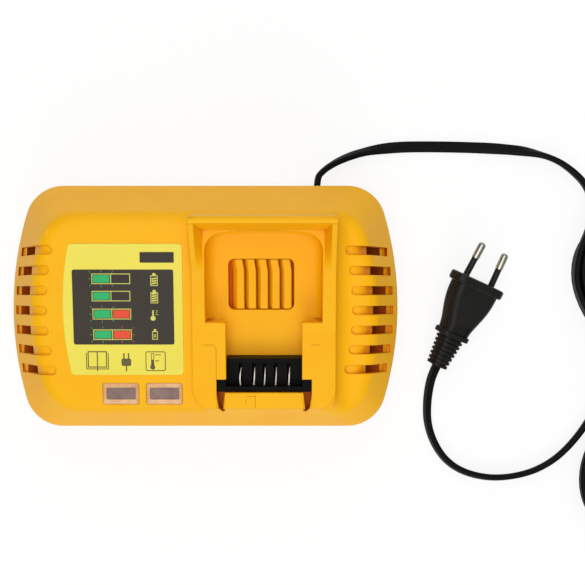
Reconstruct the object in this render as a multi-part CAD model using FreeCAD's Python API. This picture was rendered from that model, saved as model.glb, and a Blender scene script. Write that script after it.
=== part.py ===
import FreeCAD, Part
import os
from math import asin, cos, degrees, pi, radians, sin, sqrt, tan
from FreeCAD import Vector

os.makedirs("parts", exist_ok=True)

# Housing, outside. X runs to the right, Y to the rear, Z up from the table.
body_width = 200.0
body_depth = 125.0
side_radius = 170.0
corner_radius = 20.0
foot_height = 3.0
parting_height = 22.0
base_draft = 4.0
parting_groove = 0.6
wall = 2.8
deck_wall = 2.6
base_wall = 2.6
lip_height = 1.2
lip_wall = 1.1
fit_gap = 0.3

# The sloping deck. Its plane falls towards the front.
deck_slope = 8.5
deck_height = 55.0
deck_half_width = 82.0
deck_side_radius = 130.0
deck_rear = 44.6
deck_front = 51.5
deck_corner = 20.0
right_deck_drop = 8.0
right_cove = 9.0

# Battery dock, in the deck's own slope. u is across, v is up the slope, w is square to the deck.
dock_centre = 31.3
dock_half_width = 35.25
dock_rear = 45.2
rim_rise = 2.5
dock_nose_start = 38.0
dock_nose_half_width = 29.0
pocket_half_width = 28.7
pocket_depth = 14.0
pocket_rear = 37.3
pocket_corner = 8.0
pocket_side_round = 5.0
pocket_rear_round = 6.5
floor_wall = 2.6
rail_rear = 8.0
rail_gap = 37.5
rail_thickness = 4.6
backrest_height = 16.0
backrest_lean = 4.5
backrest_top = 3.2
wing_front = 17.7
wing_top_width = 2.6
wing_foot_width = 5.6

# Cooling grille and fan, under the dock floor.
grille_offset = -1.6
grille_centre = 9.0
grille_width = 32.8
grille_length = 25.6
grille_corner = 3.0
grille_frame = 1.6
slat_count = 5
slat_pitch = 5.9
slat_first = 1.7
slat_thickness = 3.7
slat_rise = 1.9
slat_run = 2.6
slat_bend = 1.0
slat_bend_length = 6.0
fan_size = 40.0
fan_depth = 10.0
fan_bore = 18.8
fan_tip_gap = 0.9
fan_hub = 9.6
fan_blades = 7
fan_shaft = 1.0
fan_shaft_fit = 0.05
fan_strut = 2.2
fan_screw_spacing = 32.0
fan_screw_radius = 1.4
fan_screw_bite = 1.6

# Contacts of the dock.
block_half_width = 19.2
block_rear = 27.0
block_front = 36.6
block_top = 5.0
plate_half_width = 23.3
plate_front = 43.0
plate_top = 1.8
blade_offsets = (-11.8, -5.2, 0.0, 5.6, 12.2)
blade_thickness = 0.7
blade_length = 8.4
blade_rise = 6.4
latch_slot_inner = 19.4
latch_slot_width = 4.1
latch_slot_length = 10.5
latch_slot_depth = 10.0

# Side vents.
vent_count = 7
vent_pitch = 9.9
vent_width = 4.4
vent_centre = -2.0
vent_inner = 75.1
vent_arc = 3.6
vent_mouth = 86.0
vent_opening = 7.5
vent_sill = 3.5
vent_end = 97.2
vent_recess = 1.1

# Label and indicator windows on the left of the deck.
label_left = -63.6
label_right = -8.4
label_rear = 30.6
label_front = -33.8
label_bow = 3.6
label_thickness = 0.4
label_corner = 2.0
window_centres = (-39.7, -18.2)
window_width = 18.0
window_length = 10.8
window_middle = -43.3
window_depth = 1.4
lens_width = 14.6
lens_length = 6.2
lens_height = 1.9
pipe_drop = 3.4
indicator_board_thickness = 1.2
indicator_boss = 2.1
indicator_pin = 1.1

# Screws, posts and feet.
post_x = 71.0
post_y = 35.0
post_radius = 4.2
post_top = 14.0
screw_radius = 1.6
screw_head = 3.0
screw_head_height = 2.2
foot_x = 78.0
foot_y = 46.0
foot_radius = 6.5
foot_seat = 0.8
keyhole_x = 45.0
keyhole_y = -4.0
keyhole_head = 4.5
keyhole_shank = 2.3
keyhole_travel = 9.0

# Main board and what stands on it.
board_length = 126.0
board_front = 42.0
board_rear = 27.0
board_thickness = 1.6
board_height = 9.0
board_post_x = 57.0
board_post_inset = 6.0
board_post_radius = 3.2

# Mains cord: flat, two core. The tube is as wide as the cord.
cord_diameter = 6.0
cord_exit_x = 57.6
cord_exit_height = 12.0
grommet_proud = 0.3
grommet_length = 20.0

# Folded hank of cord.
hank_x = 225.0
hank_upper = 19.0
hank_waist = -40.0
hank_lower = -95.0
hank_turns = 3.0
hank_lobe = 17.5
hank_lobe_step = 7.0
hank_waist_half = 4.8
hank_waist_step = 7.4
hank_layer = 7.0
hank_leave = 155.0
hank_measure_points = 8

# Two-pin plug, lying rolled on its side.
plug_x = 143.7
plug_y = 13.2
plug_z = 13.6
plug_heading = 25.5
plug_pitch = 6.0
plug_roll = 31.0
flange_width = 33.3
flange_height = 13.7
flange_depth = 4.8
plug_neck_width = 16.5
plug_neck_height = 11.6
plug_shoulder_width = 28.0
plug_body_depth = 30.5
plug_step_depth = 1.2
boot_length = 17.0
boot_width = 14.5
boot_tip_width = 10.2
boot_ribs = 7
pin_radius = 2.0
pin_length = 19.0
pin_bare = 9.0
pin_spacing = 18.6
pin_toe = 1.8
sleeve_radius = 1.7
pin_core = 1.35
pin_root = 8.0

# Details of the pieces above.
deck_round = 8.0
radius_step = 1.0
base_round = 2.4
lip_inset = 3.1
blade_slot = 1.7
led_height = 3.0
board_screw_radius = 1.3
clamp_half_width = 9.0
clamp_depth = 7.0
clamp_inset = 28.5
clamp_screw_x = 6.2
clamp_screw_radius = 1.3
grommet_groove_radius = 5.0
base_vent_count = 9
base_vent_pitch = 6.0
base_vent_width = 2.6
base_vent_length = 18.0
base_vent_y = 24.0
tie_width = 7.0
tie_thickness = 1.0
tie_place = -38.0
lead_foot_y = -30.0
transformer_place = (-22.0, 4.0)
core_length = 33.0
core_depth = 12.0
core_height = 28.0
bobbin_foot = 2.0
output_place = (54.0, -22.0)
choke_radius = 5.4
choke_place = (37.5, 18.0)
film_place = (18.5, 18.0)
fuse_place = (16.0, 7.0)
bridge_place = (-1.0, 23.0)
relay_place = (-38.0, -26.0)
bulk_place = (-51.0, 4.0)
bulk_radius = 11.0
bulk_height = 32.0

# Values that follow from the ones above.
half_width = body_width / 2
half_depth = body_depth / 2
slope = radians(deck_slope)
rim_height = deck_height + rim_rise / cos(slope)
grommet_end = half_depth - grommet_proud
clamp_y = half_depth - clamp_inset
tube_radius = cord_diameter / 2


def save(name, shape):
    """Write one node."""
    shape.exportStep("parts/%s.step" % name)


def fused(shapes):
    return shapes[0].multiFuse(shapes[1:]).removeSplitter()


def group(shapes):
    return Part.makeCompound(shapes)


def slanted(shape, x=0.0, height=deck_height):
    """Carry a shape from (u, v, w) to the deck's slope."""
    copy = shape.copy()
    copy.rotate(Vector(0, 0, 0), Vector(1, 0, 0), deck_slope)
    copy.translate(Vector(x, 0, height))
    return copy


def docked(shape):
    return slanted(shape, dock_centre, rim_height)


def block(x0, x1, y0, y1, z0, z1):
    return Part.makeBox(x1 - x0, y1 - y0, z1 - z0, Vector(x0, y0, z0))


def rod(x, y, z0, z1, radius):
    return Part.makeCylinder(radius, z1 - z0, Vector(x, y, z0))


def prism(points, along):
    wire = Part.makePolygon([Vector(*p) for p in points + points[:1]])
    return Part.Face(wire).extrude(Vector(*along))


def arc(a, b, c):
    return Part.Arc(Vector(*a), Vector(*b), Vector(*c)).toShape()


def rounded(x0, x1, y0, y1, z, radius):
    """A rectangle with round corners, as a wire."""
    k = radius * (1 - sqrt(0.5))
    line = lambda a, b: Part.LineSegment(Vector(*a), Vector(*b)).toShape()
    edges = [
        line((x0 + radius, y0, z), (x1 - radius, y0, z)),
        arc((x1 - radius, y0, z), (x1 - k, y0 + k, z), (x1, y0 + radius, z)),
        line((x1, y0 + radius, z), (x1, y1 - radius, z)),
        arc((x1, y1 - radius, z), (x1 - k, y1 - k, z), (x1 - radius, y1, z)),
        line((x1 - radius, y1, z), (x0 + radius, y1, z)),
        arc((x0 + radius, y1, z), (x0 + k, y1 - k, z), (x0, y1 - radius, z)),
        line((x0, y1 - radius, z), (x0, y0 + radius, z)),
        arc((x0, y0 + radius, z), (x0 + k, y0 + k, z), (x0 + radius, y0, z)),
    ]
    return Part.Wire(edges)


def rounded_block(x0, x1, y0, y1, z0, z1, radius):
    return Part.Face(rounded(x0, x1, y0, y1, z0, radius)).extrude(Vector(0, 0, z1 - z0))


def outline(width, rear, front, side_radius, radius, z=0.0):
    """Plan of the housing: bowed sides, straight front and rear, round corners. Sizes are half sizes."""
    middle = (rear - front) / 2
    centre = width - side_radius
    run = (rear + front) / 2 - radius
    reach = sqrt((side_radius - radius) ** 2 - run ** 2)
    out = Vector(reach, run, 0).normalize()
    half = (out + Vector(0, 1, 0)).normalize()
    hub = centre + reach

    def at(x, y):
        return Vector(x, middle + y, z)

    def corner(side, end):
        return (at(side * hub, end * (run + radius)),
                at(side * (hub + radius * half.x), end * (run + radius * half.y)),
                at(side * (hub + radius * out.x), end * (run + radius * out.y)))

    fl, fr, rr, rl = corner(-1, -1), corner(1, -1), corner(1, 1), corner(-1, 1)
    edges = [
        Part.LineSegment(fl[0], fr[0]).toShape(),
        Part.Arc(*fr).toShape(),
        Part.Arc(fr[2], at(width, 0), rr[2]).toShape(),
        Part.Arc(*rr[::-1]).toShape(),
        Part.LineSegment(rr[0], rl[0]).toShape(),
        Part.Arc(*rl).toShape(),
        Part.Arc(rl[2], at(-width, 0), fl[2]).toShape(),
        Part.Arc(*fl[::-1]).toShape(),
    ]
    return Part.Wire(edges)


def body_outline(inset, z):
    return outline(half_width - inset, half_depth - inset, half_depth - inset, side_radius - inset,
                   corner_radius - inset, z)


rear_lean = (half_depth - deck_rear) / (deck_height + deck_rear * tan(slope) - parting_height)
front_lean = (half_depth - deck_front) / (deck_height - deck_front * tan(slope) - parting_height)


def deck_outline(rise, inset=0.0, widen=0.0):
    """Plan of the deck at a height above its own plane, along the front and rear slopes."""
    rear = deck_rear - rise * rear_lean - inset
    front = deck_front - rise * front_lean - inset
    wire = outline(deck_half_width + widen - inset, rear / cos(slope), front / cos(slope),
                   deck_side_radius - inset, deck_corner - inset)
    return slanted(wire, 0.0, deck_height + rise)


def envelope(rise, inset=0.0, below=0.0, widen=0.0):
    """Everything between the parting line and a plane parallel to the deck."""
    return Part.makeLoft([body_outline(inset, parting_height - below), deck_outline(rise, inset, widen)],
                         True, True)


def outer_edges(shape, face_test):
    """Edges round each face that a test picks."""
    found = []
    for face in shape.Faces:
        if face_test(face):
            found += face.OuterWire.Edges
    return found


def deck_face(face):
    normal = face.normalAt(0.5, 0.5)
    return normal.z > 0.9 and face.Area > 2000


def soften(shape, edges, radius):
    """Round convex edges, by the largest radius up to the one named that their faces leave room for."""
    rounded = shape.makeFillet(radius, edges)
    while not rounded.isValid() or rounded.Volume > shape.Volume:
        radius -= radius_step
        rounded = shape.makeFillet(radius, edges)
    return rounded


def dock_plan(inset=0.0):
    """Plan of the raised dock: straight sides that draw in round the nose."""
    half = dock_half_width - inset
    nose = dock_nose_half_width - inset
    end = deck_front + 12.0
    rear = dock_rear - inset
    line = lambda a, b: Part.LineSegment(Vector(*a), Vector(*b)).toShape()
    bend = ((half + nose) / 2 + 1.6, -(dock_nose_start + 8.6), 0)
    edges = [
        line((half, rear, 0), (half, -dock_nose_start, 0)),
        arc((half, -dock_nose_start, 0), bend, (nose, -(dock_nose_start + 14.0), 0)),
        line((nose, -(dock_nose_start + 14.0), 0), (nose - 4.0, -end, 0)),
        line((nose - 4.0, -end, 0), (-(nose - 4.0), -end, 0)),
        line((-(nose - 4.0), -end, 0), (-nose, -(dock_nose_start + 14.0), 0)),
        arc((-nose, -(dock_nose_start + 14.0), 0), (-bend[0], bend[1], 0), (-half, -dock_nose_start, 0)),
        line((-half, -dock_nose_start, 0), (-half, rear, 0)),
        line((-half, rear, 0), (half, rear, 0)),
    ]
    return Part.Wire(edges)


def backrest():
    """The stop behind the battery: a leaning wall between two wings that fall away to the front."""
    wall_profile = [
        (-dock_half_width, dock_rear, -14.0),
        (-dock_half_width, dock_rear, backrest_height - 1.4),
        (-dock_half_width, dock_rear - 1.4, backrest_height),
        (-dock_half_width, dock_rear - backrest_top, backrest_height),
        (-dock_half_width, dock_rear - backrest_top - backrest_lean, 0.0),
        (-dock_half_width, dock_rear - backrest_top - backrest_lean, -14.0),
    ]
    pieces = [prism(wall_profile, (2 * dock_half_width, 0, 0))]
    for side in (-1, 1):
        outer = side * dock_half_width
        top = side * (dock_half_width - wing_top_width)
        foot = side * (dock_half_width - wing_foot_width)

        def section(v, height):
            points = [(outer, v, -4.0), (outer, v, height), (top, v, height), (foot, v, 0.0), (foot, v, -4.0)]
            return Part.makePolygon([Vector(*p) for p in points + points[:1]])

        pieces.append(Part.makeLoft([section(dock_rear - 0.5, backrest_height - 0.4),
                                     section(wing_front, 0.02)], True, True))
    return fused(pieces)


def pocket():
    """Space of the battery: a scooped tray, the way under the rails and the channel between them."""
    rear = pocket_rear
    line = lambda a, b: Part.LineSegment(Vector(*a), Vector(*b)).toShape()
    half = pocket_half_width
    r = pocket_corner
    k = r * (1 - sqrt(0.5))
    z = -pocket_depth
    plan = Part.Wire([
        line((-half, -rail_rear, z), (half, -rail_rear, z)),
        line((half, -rail_rear, z), (half, rear - r - 2.0, z)),
        arc((half, rear - r - 2.0, z), (half - k, rear - k - 1.7, z), (half - r, rear - 1.2, z)),
        arc((half - r, rear - 1.2, z), (0, rear, z), (-(half - r), rear - 1.2, z)),
        arc((-(half - r), rear - 1.2, z), (-(half - k), rear - k - 1.7, z), (-half, rear - r - 2.0, z)),
        line((-half, rear - r - 2.0, z), (-half, -rail_rear, z)),
    ])
    tray = Part.Face(plan).extrude(Vector(0, 0, pocket_depth + 1.0))
    side_edges = []
    for edge in tray.Edges:
        box = edge.BoundBox
        if box.ZMax < z + 0.01 and box.YMax > 0:
            side_edges.append(edge)
    tray = tray.makeFillet(pocket_side_round, side_edges)
    under = block(-half, half, -block_front - 0.4, -rail_rear + 0.01, z, -rail_thickness)
    channel = block(-rail_gap / 2, rail_gap / 2, -block_front - 0.4, -rail_rear + 0.01, z, 1.0)
    seat = block(-plate_half_width - 0.2, plate_half_width + 0.2, -plate_front - 0.2, -block_front + 0.2, z, 6.0)
    return tray, under, channel, seat


def latch_slots():
    """Two deep slots in front of the contacts that narrow towards the nose."""
    slots = []
    for side in (-1, 1):
        inner = side * latch_slot_inner
        outer = side * (latch_slot_inner + latch_slot_width)
        near = -plate_front - 0.2
        far = near - latch_slot_length
        points = [(inner, near, -latch_slot_depth), (outer, near, -latch_slot_depth),
                  (outer, far + 4.0, -latch_slot_depth), (inner + side * 1.2, far, -latch_slot_depth),
                  (inner, far + 1.0, -latch_slot_depth)]
        slots.append(prism(points, (0, 0, latch_slot_depth + 6.0)))
    return slots


def vent_rows():
    rows = []
    for i in range(vent_count):
        step = i - (vent_count - 1) / 2
        y = vent_centre + step * vent_pitch
        inner = vent_inner - vent_arc * (step / ((vent_count - 1) / 2)) ** 2
        end = vent_end - 6.0 * (step / ((vent_count - 1) / 2)) ** 2 * 0.55
        rows.append((y, inner, end))
    return rows


def vent_cuts(side, rise):
    """Shallow grooves that run from the deck down the steep side, each with an opening on its way."""
    core = envelope(rise - vent_recess, vent_recess)
    core = soften(core, outer_edges(core, deck_face), deck_round)
    low = parting_height + vent_sill
    high = deck_height + 40.0
    cuts = []
    r = vent_width / 2
    for y, inner, end in vent_rows():
        near = inner + r
        groove = block(*sorted((side * near, side * end)), y - r, y + r, low, high)
        cuts.append(groove.fuse(rod(side * near, y, low, high, r)).cut(core))
        mouth = vent_mouth - (vent_inner - inner)
        cuts.append(block(*sorted((side * mouth, side * (mouth + vent_opening))), y - r, y + r, low, high))
    return cuts


def right_scoop():
    """Space over the lower deck, with the hollow curve up to the dock's right wall."""
    foot = -right_deck_drop - rim_rise
    k = right_cove * (1 - sqrt(0.5))
    left = dock_half_width
    far = left + body_width
    line = lambda a, b: Part.LineSegment(Vector(*a), Vector(*b)).toShape()
    face = Part.Face(Part.Wire([
        line((left, 0, 30.0), (left, 0, foot + right_cove)),
        arc((left, 0, foot + right_cove), (left + k, 0, foot + k), (left + right_cove, 0, foot)),
        line((left + right_cove, 0, foot), (far, 0, foot)),
        line((far, 0, foot), (far, 0, 30.0)),
        line((far, 0, 30.0), (left, 0, 30.0)),
    ]))
    solid = face.extrude(Vector(0, 2 * body_depth, 0))
    solid.translate(Vector(0, -body_depth, 0))
    return docked(solid)


def deck_rim(shape):
    """Edges where the decks and the cove between them turn down to the steep sides."""
    tops = [f for f in shape.Faces if abs(f.CenterOfMass.y) < 10 and f.CenterOfMass.z > 44]
    edges = []
    for face in tops:
        for edge in face.Edges:
            if sum(1 for other in tops for e in other.Edges if e.isSame(edge)) == 1:
                edges.append(edge)
    return edges


def window_tool(centre, width, length, low, high, radius=1.2):
    """A round-cornered block over or under an indicator window, in the deck's slope."""
    middle = window_middle / cos(slope)
    plain = rounded_block(centre - width / 2, centre + width / 2, middle - length / 2, middle + length / 2,
                          low, high, radius)
    return slanted(plain)


def post_places():
    return [(x, y) for x in (-post_x, post_x) for y in (-post_y, post_y)]


def outer_form():
    """The upper housing before it is hollowed."""
    body = envelope(0.0).cut(right_scoop())
    body = soften(body, deck_rim(body), deck_round)
    platform = docked(Part.Face(dock_plan()).extrude(Vector(0, 0, -floor_wall - pocket_depth)))
    platform = platform.common(envelope(rim_rise))
    return body.fuse([platform, docked(backrest())])


def cavity():
    """The hollow of the upper housing, clear of the dock's tub."""
    hollow = envelope(-deck_wall, wall, below=2.0)
    low = envelope(-right_deck_drop - deck_wall, wall, below=2.0)
    edge = dock_centre + dock_half_width - wall
    hollow = hollow.common(block(-body_width, edge, -body_depth, body_depth, 0, body_width)).fuse(low)
    tub = block(-dock_half_width, dock_half_width, -deck_front - 8.0, dock_rear,
                -pocket_depth - floor_wall, backrest_height)
    return hollow.cut(docked(tub))


def upper_housing():
    shell = outer_form().cut(cavity())
    for x, y in post_places():
        height = deck_height + y * tan(slope) - (right_deck_drop if x > 0 else 0.0) - 1.0
        shell = shell.fuse(rod(x, y, post_top + fit_gap, height, post_radius))
    shell = shell.fuse(board_bosses())
    cuts = [rod(x, y, post_top, post_top + 16.0, screw_radius - 0.05) for x, y in post_places()]
    cuts += [docked(piece) for piece in pocket()]
    cuts += [docked(piece) for piece in latch_slots()]
    half = grille_width / 2
    reach = grille_length / 2
    cuts.append(docked(rounded_block(grille_offset - half, grille_offset + half, grille_centre - reach,
                                     grille_centre + reach, -pocket_depth - floor_wall - 1.0, -pocket_depth + 1.0,
                                     grille_corner)))
    low = -pocket_depth - floor_wall
    for x, y in fan_corners():
        cuts.append(docked(rod(grille_offset + x, grille_centre + y, low - 1.0, low + fan_screw_bite + 0.2,
                               fan_screw_radius + 0.05)))
    for centre in window_centres:
        cuts.append(window_tool(centre, window_width, window_length, -window_depth, 9.0))
        cuts.append(window_tool(centre, lens_width + 0.1, lens_length + 0.1, -9.0, 1.0, 0.8))
    cuts += vent_cuts(-1, 0.0)
    cuts += vent_cuts(1, -right_deck_drop)
    cuts.append(cord_notch(grommet_groove_radius + 0.1))
    shell = shell.cut(Part.makeCompound(cuts))
    return shell


def board_bosses():
    """Stepped pins under the deck that carry the indicator board. Their ends are staked over it."""
    middle = window_middle / cos(slope)
    top = -deck_wall - pipe_drop - led_height
    low = top - indicator_board_thickness
    bosses = []
    for x in indicator_bosses():
        bosses.append(slanted(rod(x, middle, top, -deck_wall + 0.6, indicator_boss)))
        bosses.append(slanted(rod(x, middle, low - 0.9, top + 0.1, indicator_pin)))
        bosses.append(slanted(rod(x, middle, low - 0.9, low, indicator_pin + 0.6)))
    return bosses


def cord_notch(radius):
    return Part.makeCylinder(radius, 30.0, Vector(cord_exit_x, half_depth - 20.0, cord_exit_height), Vector(0, 1, 0))


def lower_form(inset, low, high, base_inset):
    return Part.makeLoft([outline(half_width - base_inset - inset, half_depth - base_inset - inset,
                                  half_depth - base_inset - inset, side_radius - base_inset - inset,
                                  corner_radius - base_inset / 2 - inset, low),
                          body_outline(inset, high)], True, True)


def lower_housing():
    top = parting_height - 0.02
    shell = lower_form(parting_groove, foot_height, top, base_draft)
    base_edges = [e for f in shell.Faces if abs(f.CenterOfMass.z - foot_height) < 0.01 for e in f.OuterWire.Edges]
    shell = soften(shell, base_edges, base_round)
    shell = shell.cut(lower_form(wall, foot_height + base_wall, top + 0.1, base_draft))
    lip_out = body_outline(wall + lip_inset, parting_height - 3.0)
    lip_in = body_outline(wall + lip_inset + lip_wall, parting_height - 3.0)
    lip = Part.Face(lip_out).extrude(Vector(0, 0, 3.0 + lip_height))
    lip = lip.cut(Part.Face(lip_in).extrude(Vector(0, 0, 3.0 + lip_height)))
    root = body_outline(wall - 0.4, parting_height - 3.0)
    lip = lip.fuse(Part.Face(root).cut(Part.Face(lip_in)).extrude(Vector(0, 0, 2.4)))
    shell = shell.fuse(lip)
    floor = foot_height + base_wall - 0.3
    shell = shell.fuse([rod(x, y, floor, post_top, post_radius) for x, y in post_places()])
    shell = shell.fuse([rod(x, y, floor, board_height, board_post_radius) for x, y in board_posts()])
    cradle = block(cord_exit_x - clamp_half_width, cord_exit_x + clamp_half_width, clamp_y - clamp_depth / 2,
                   clamp_y + clamp_depth / 2, floor, cord_exit_height - 0.1)
    shell = shell.fuse(cradle)
    cuts = []
    for x, y in post_places():
        cuts.append(rod(x, y, 0, post_top + 1, screw_radius + 0.15))
        cuts.append(rod(x, y, 0, foot_height + screw_head_height + 0.6, screw_head + 0.3))
    cuts += [rod(x, y, floor, board_height + 1, board_screw_radius - 0.05) for x, y in board_posts()]
    for x, y in foot_places():
        cuts.append(rod(x, y, 0, foot_height + foot_seat, foot_radius))
    for x in (-keyhole_x, keyhole_x):
        cuts.append(rod(x, keyhole_y, 0, board_height - 1.5, keyhole_head))
        cuts.append(block(x - keyhole_shank, x + keyhole_shank, keyhole_y, keyhole_y + keyhole_travel, 0,
                          board_height - 1.5))
        cuts.append(rod(x, keyhole_y + keyhole_travel, 0, board_height - 1.5, keyhole_shank))
    cuts.append(cord_notch(grommet_groove_radius + 0.1))
    cuts.append(Part.makeCylinder(tube_radius, 40.0, Vector(cord_exit_x, clamp_y - 20.0, cord_exit_height),
                                  Vector(0, 1, 0)))
    for side in (-1, 1):
        cuts.append(rod(cord_exit_x + side * clamp_screw_x, clamp_y, floor, cord_exit_height + 1, clamp_screw_radius - 0.05))
    for i in range(base_vent_count):
        x = (i - (base_vent_count - 1) / 2) * base_vent_pitch
        cuts.append(rounded_block(x - base_vent_width / 2, x + base_vent_width / 2, base_vent_y - base_vent_length / 2,
                                  base_vent_y + base_vent_length / 2, 0, foot_height + base_wall + 1,
                                  base_vent_width / 2 - 0.05))
    return shell.cut(Part.makeCompound(cuts))


def board_posts():
    places = (-board_front + board_post_inset, board_rear - board_post_inset)
    return [(x, y) for x in (-board_post_x, board_post_x) for y in places]


def foot_places():
    return [(x, y) for x in (-foot_x, foot_x) for y in (-foot_y, foot_y)]


def rubber_feet():
    feet = []
    for x, y in foot_places():
        foot = rod(x, y, 0, foot_height + foot_seat, foot_radius - 0.05)
        low = [e for e in foot.Edges if e.BoundBox.ZMax < 0.01]
        feet.append(foot.makeFillet(1.0, low))
    return group(feet)


def screw(x, y, base, length, shank, head, head_height, down=False):
    """A pan-head screw whose head is under its seat at the height base, or over it with down."""
    shaft = rod(x, y, base, base + length, shank)
    cap = rod(x, y, base - head_height, base, head)
    rim = [e for e in cap.Edges if e.BoundBox.ZMax < base - head_height + 0.01]
    cap = cap.makeFillet(head_height * 0.45, rim)
    recess = block(x - head * 0.6, x + head * 0.6, y - 0.4, y + 0.4, base - head_height - 1, base - head_height * 0.5)
    cross = block(x - 0.4, x + 0.4, y - head * 0.6, y + head * 0.6, base - head_height - 1, base - head_height * 0.5)
    whole = shaft.fuse(cap).cut(Part.makeCompound([recess, cross]))
    if down:
        whole = whole.mirror(Vector(x, y, base), Vector(0, 0, 1))
    return whole


def housing_screws():
    base = foot_height + screw_head_height + 0.6
    return group([screw(x, y, base, post_top + 12.0 - base, screw_radius - 0.06, screw_head, screw_head_height)
                  for x, y in post_places()])


def fan_grille():
    """A frame under the dock floor with leaning slats, each bent at its rear end."""
    low = -pocket_depth - floor_wall
    half = fan_size / 2
    reach = fan_size / 2
    cx = grille_offset
    cy = grille_centre
    frame = rounded_block(cx - half, cx + half, cy - reach, cy + reach, low - grille_frame, low, grille_corner)
    inner = rounded_block(cx - grille_width / 2, cx + grille_width / 2, cy - grille_length / 2,
                          cy + grille_length / 2, low - grille_frame - 1, low + 1, grille_corner - 0.5)
    holes = [rod(cx + x, cy + y, low - grille_frame - 1, low + 1, fan_screw_radius + 0.15) for x, y in fan_corners()]
    frame = frame.cut(Part.makeCompound([inner] + holes))
    pieces = [frame]
    first = cx - grille_width / 2 + slat_first
    overlap = 0.4
    for i in range(slat_count):
        left = first + i * slat_pitch

        def section(v, shift):
            base = low - grille_frame
            top = low + slat_rise
            points = [(left + shift, base), (left + shift + slat_thickness, base),
                      (left + shift + slat_run + slat_thickness, top), (left + shift + slat_run, top)]
            wire = [Vector(x, v, z) for x, z in points]
            return Part.makePolygon(wire + wire[:1])

        front = cy - grille_length / 2 - overlap
        bend = cy + grille_length / 2 - slat_bend_length
        rear = cy + grille_length / 2 + overlap
        slat = Part.makeLoft([section(front, 0.0), section(bend, 0.0)], True, True)
        tail = Part.makeLoft([section(bend, 0.0), section(rear, -slat_bend)], True, True)
        ends = rounded_block(cx - grille_width / 2 + fit_gap, cx + grille_width / 2 - fit_gap,
                             cy - grille_length / 2 + fit_gap, cy + grille_length / 2 - fit_gap, low, low + 20.0,
                             grille_corner - fit_gap)
        whole = slat.fuse(tail)
        upper = whole.common(ends)
        lower = whole.common(block(cx - half, cx + half, cy - reach, cy + reach, low - grille_frame, low))
        pieces += [upper, lower]
    return docked(fused(pieces))


def fan_place(shape):
    """From the fan's own frame, whose top is z = 0, to its seat under the grille."""
    copy = shape.copy()
    copy.translate(Vector(grille_offset, grille_centre, -pocket_depth - floor_wall - grille_frame))
    return docked(copy)


def fan_corners():
    half = fan_screw_spacing / 2
    return [(x, y) for x in (-half, half) for y in (-half, half)]


def fan_frame():
    half = fan_size / 2
    frame = rounded_block(-half, half, -half, half, -fan_depth, 0, 3.0)
    frame = frame.cut(rod(0, 0, -fan_depth - 1, 1, fan_bore))
    spider = rod(0, 0, -fan_depth, -fan_depth + 1.6, fan_hub)
    tube = rod(0, 0, -fan_depth, -3.2, 2.6)
    struts = []
    for i in range(4):
        strut = block(0, fan_bore + 0.6, -fan_strut / 2, fan_strut / 2, -fan_depth, -fan_depth + 1.6)
        strut.rotate(Vector(0, 0, 0), Vector(0, 0, 1), 45 + 90 * i)
        struts.append(strut)
    frame = fused([frame, spider, tube] + struts)
    cuts = [rod(0, 0, -fan_depth - 1, 1, fan_shaft + fan_shaft_fit)]
    cuts += [rod(x, y, -fan_depth - 1, 1, fan_screw_radius + 0.15) for x, y in fan_corners()]
    return fan_place(frame.cut(Part.makeCompound(cuts)))


def fan_rotor():
    """Hub cup, shaft and pitched blades."""
    cup = rod(0, 0, -fan_depth + 2.4, -0.9, fan_hub)
    cup = cup.makeFillet(0.9, [e for e in cup.Edges if e.BoundBox.ZMin > -1.0])
    cup = cup.cut(rod(0, 0, -fan_depth, -2.2, fan_hub - 1.4))
    shaft = rod(0, 0, -fan_depth + 0.6, -1.6, fan_shaft)
    pieces = [cup, shaft]
    tip = fan_bore - fan_tip_gap
    for i in range(fan_blades):

        def section(x, pitch, chord):
            dy = chord * cos(radians(pitch)) / 2
            dz = chord * sin(radians(pitch)) / 2
            mid = -fan_depth / 2 + 0.6
            points = [(x, -dy, mid - dz), (x, 0, mid - 0.9), (x, dy, mid + dz), (x, dy - 0.4, mid + dz + 0.5),
                      (x, 0, mid + 0.1), (x, -dy - 0.4, mid - dz + 0.5)]
            wire = [Vector(*p) for p in points]
            return Part.makePolygon(wire + wire[:1])

        blade = Part.makeLoft([section(fan_hub - 1.0, 38.0, 8.4), section(tip, 24.0, 10.6)], True, True)
        blade = blade.common(rod(0, 0, -fan_depth, 0, tip))
        blade = blade.cut(rod(0, 0, -fan_depth, 0, fan_hub - 0.7))
        blade.rotate(Vector(0, 0, 0), Vector(0, 0, 1), 360.0 / fan_blades * i)
        pieces.append(blade)
    return fan_place(fused(pieces))


def fan_screws():
    base = -fan_depth
    return fan_place(group([screw(x, y, base, fan_depth + grille_frame + fan_screw_bite, fan_screw_radius, 2.4, 1.6)
                            for x, y in fan_corners()]))


def terminal_block():
    """The black contact carrier: a body between the rails with a wider plate in front of it."""
    low = -pocket_depth
    body = block(-block_half_width, block_half_width, -block_front, -block_rear, low, -block_top)
    upright = [e for e in body.Edges if abs(e.BoundBox.ZLength - (pocket_depth - block_top)) < 0.01
               and e.BoundBox.YMax > -block_rear - 0.01]
    body = body.makeFillet(1.6, upright)
    plate = block(-plate_half_width, plate_half_width, -plate_front, -block_front, low, -plate_top)
    plate = plate.makeChamfer(0.8, [e for e in plate.Edges if e.BoundBox.ZMin > -plate_top - 0.01])
    body = body.fuse(plate)
    cuts = []
    for offset in blade_offsets:
        cuts.append(block(offset - blade_slot / 2, offset + blade_slot / 2, -block_front + 1.2, -block_rear + 2.0,
                          low + 2.4, 0))
    cuts.append(block(-block_half_width + 1.4, block_half_width - 1.4, -block_rear - 4.4, -block_rear + 1.0,
                      -block_top - 1.6, 0))
    body = body.cut(Part.makeCompound(cuts))
    return docked(body)


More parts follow.
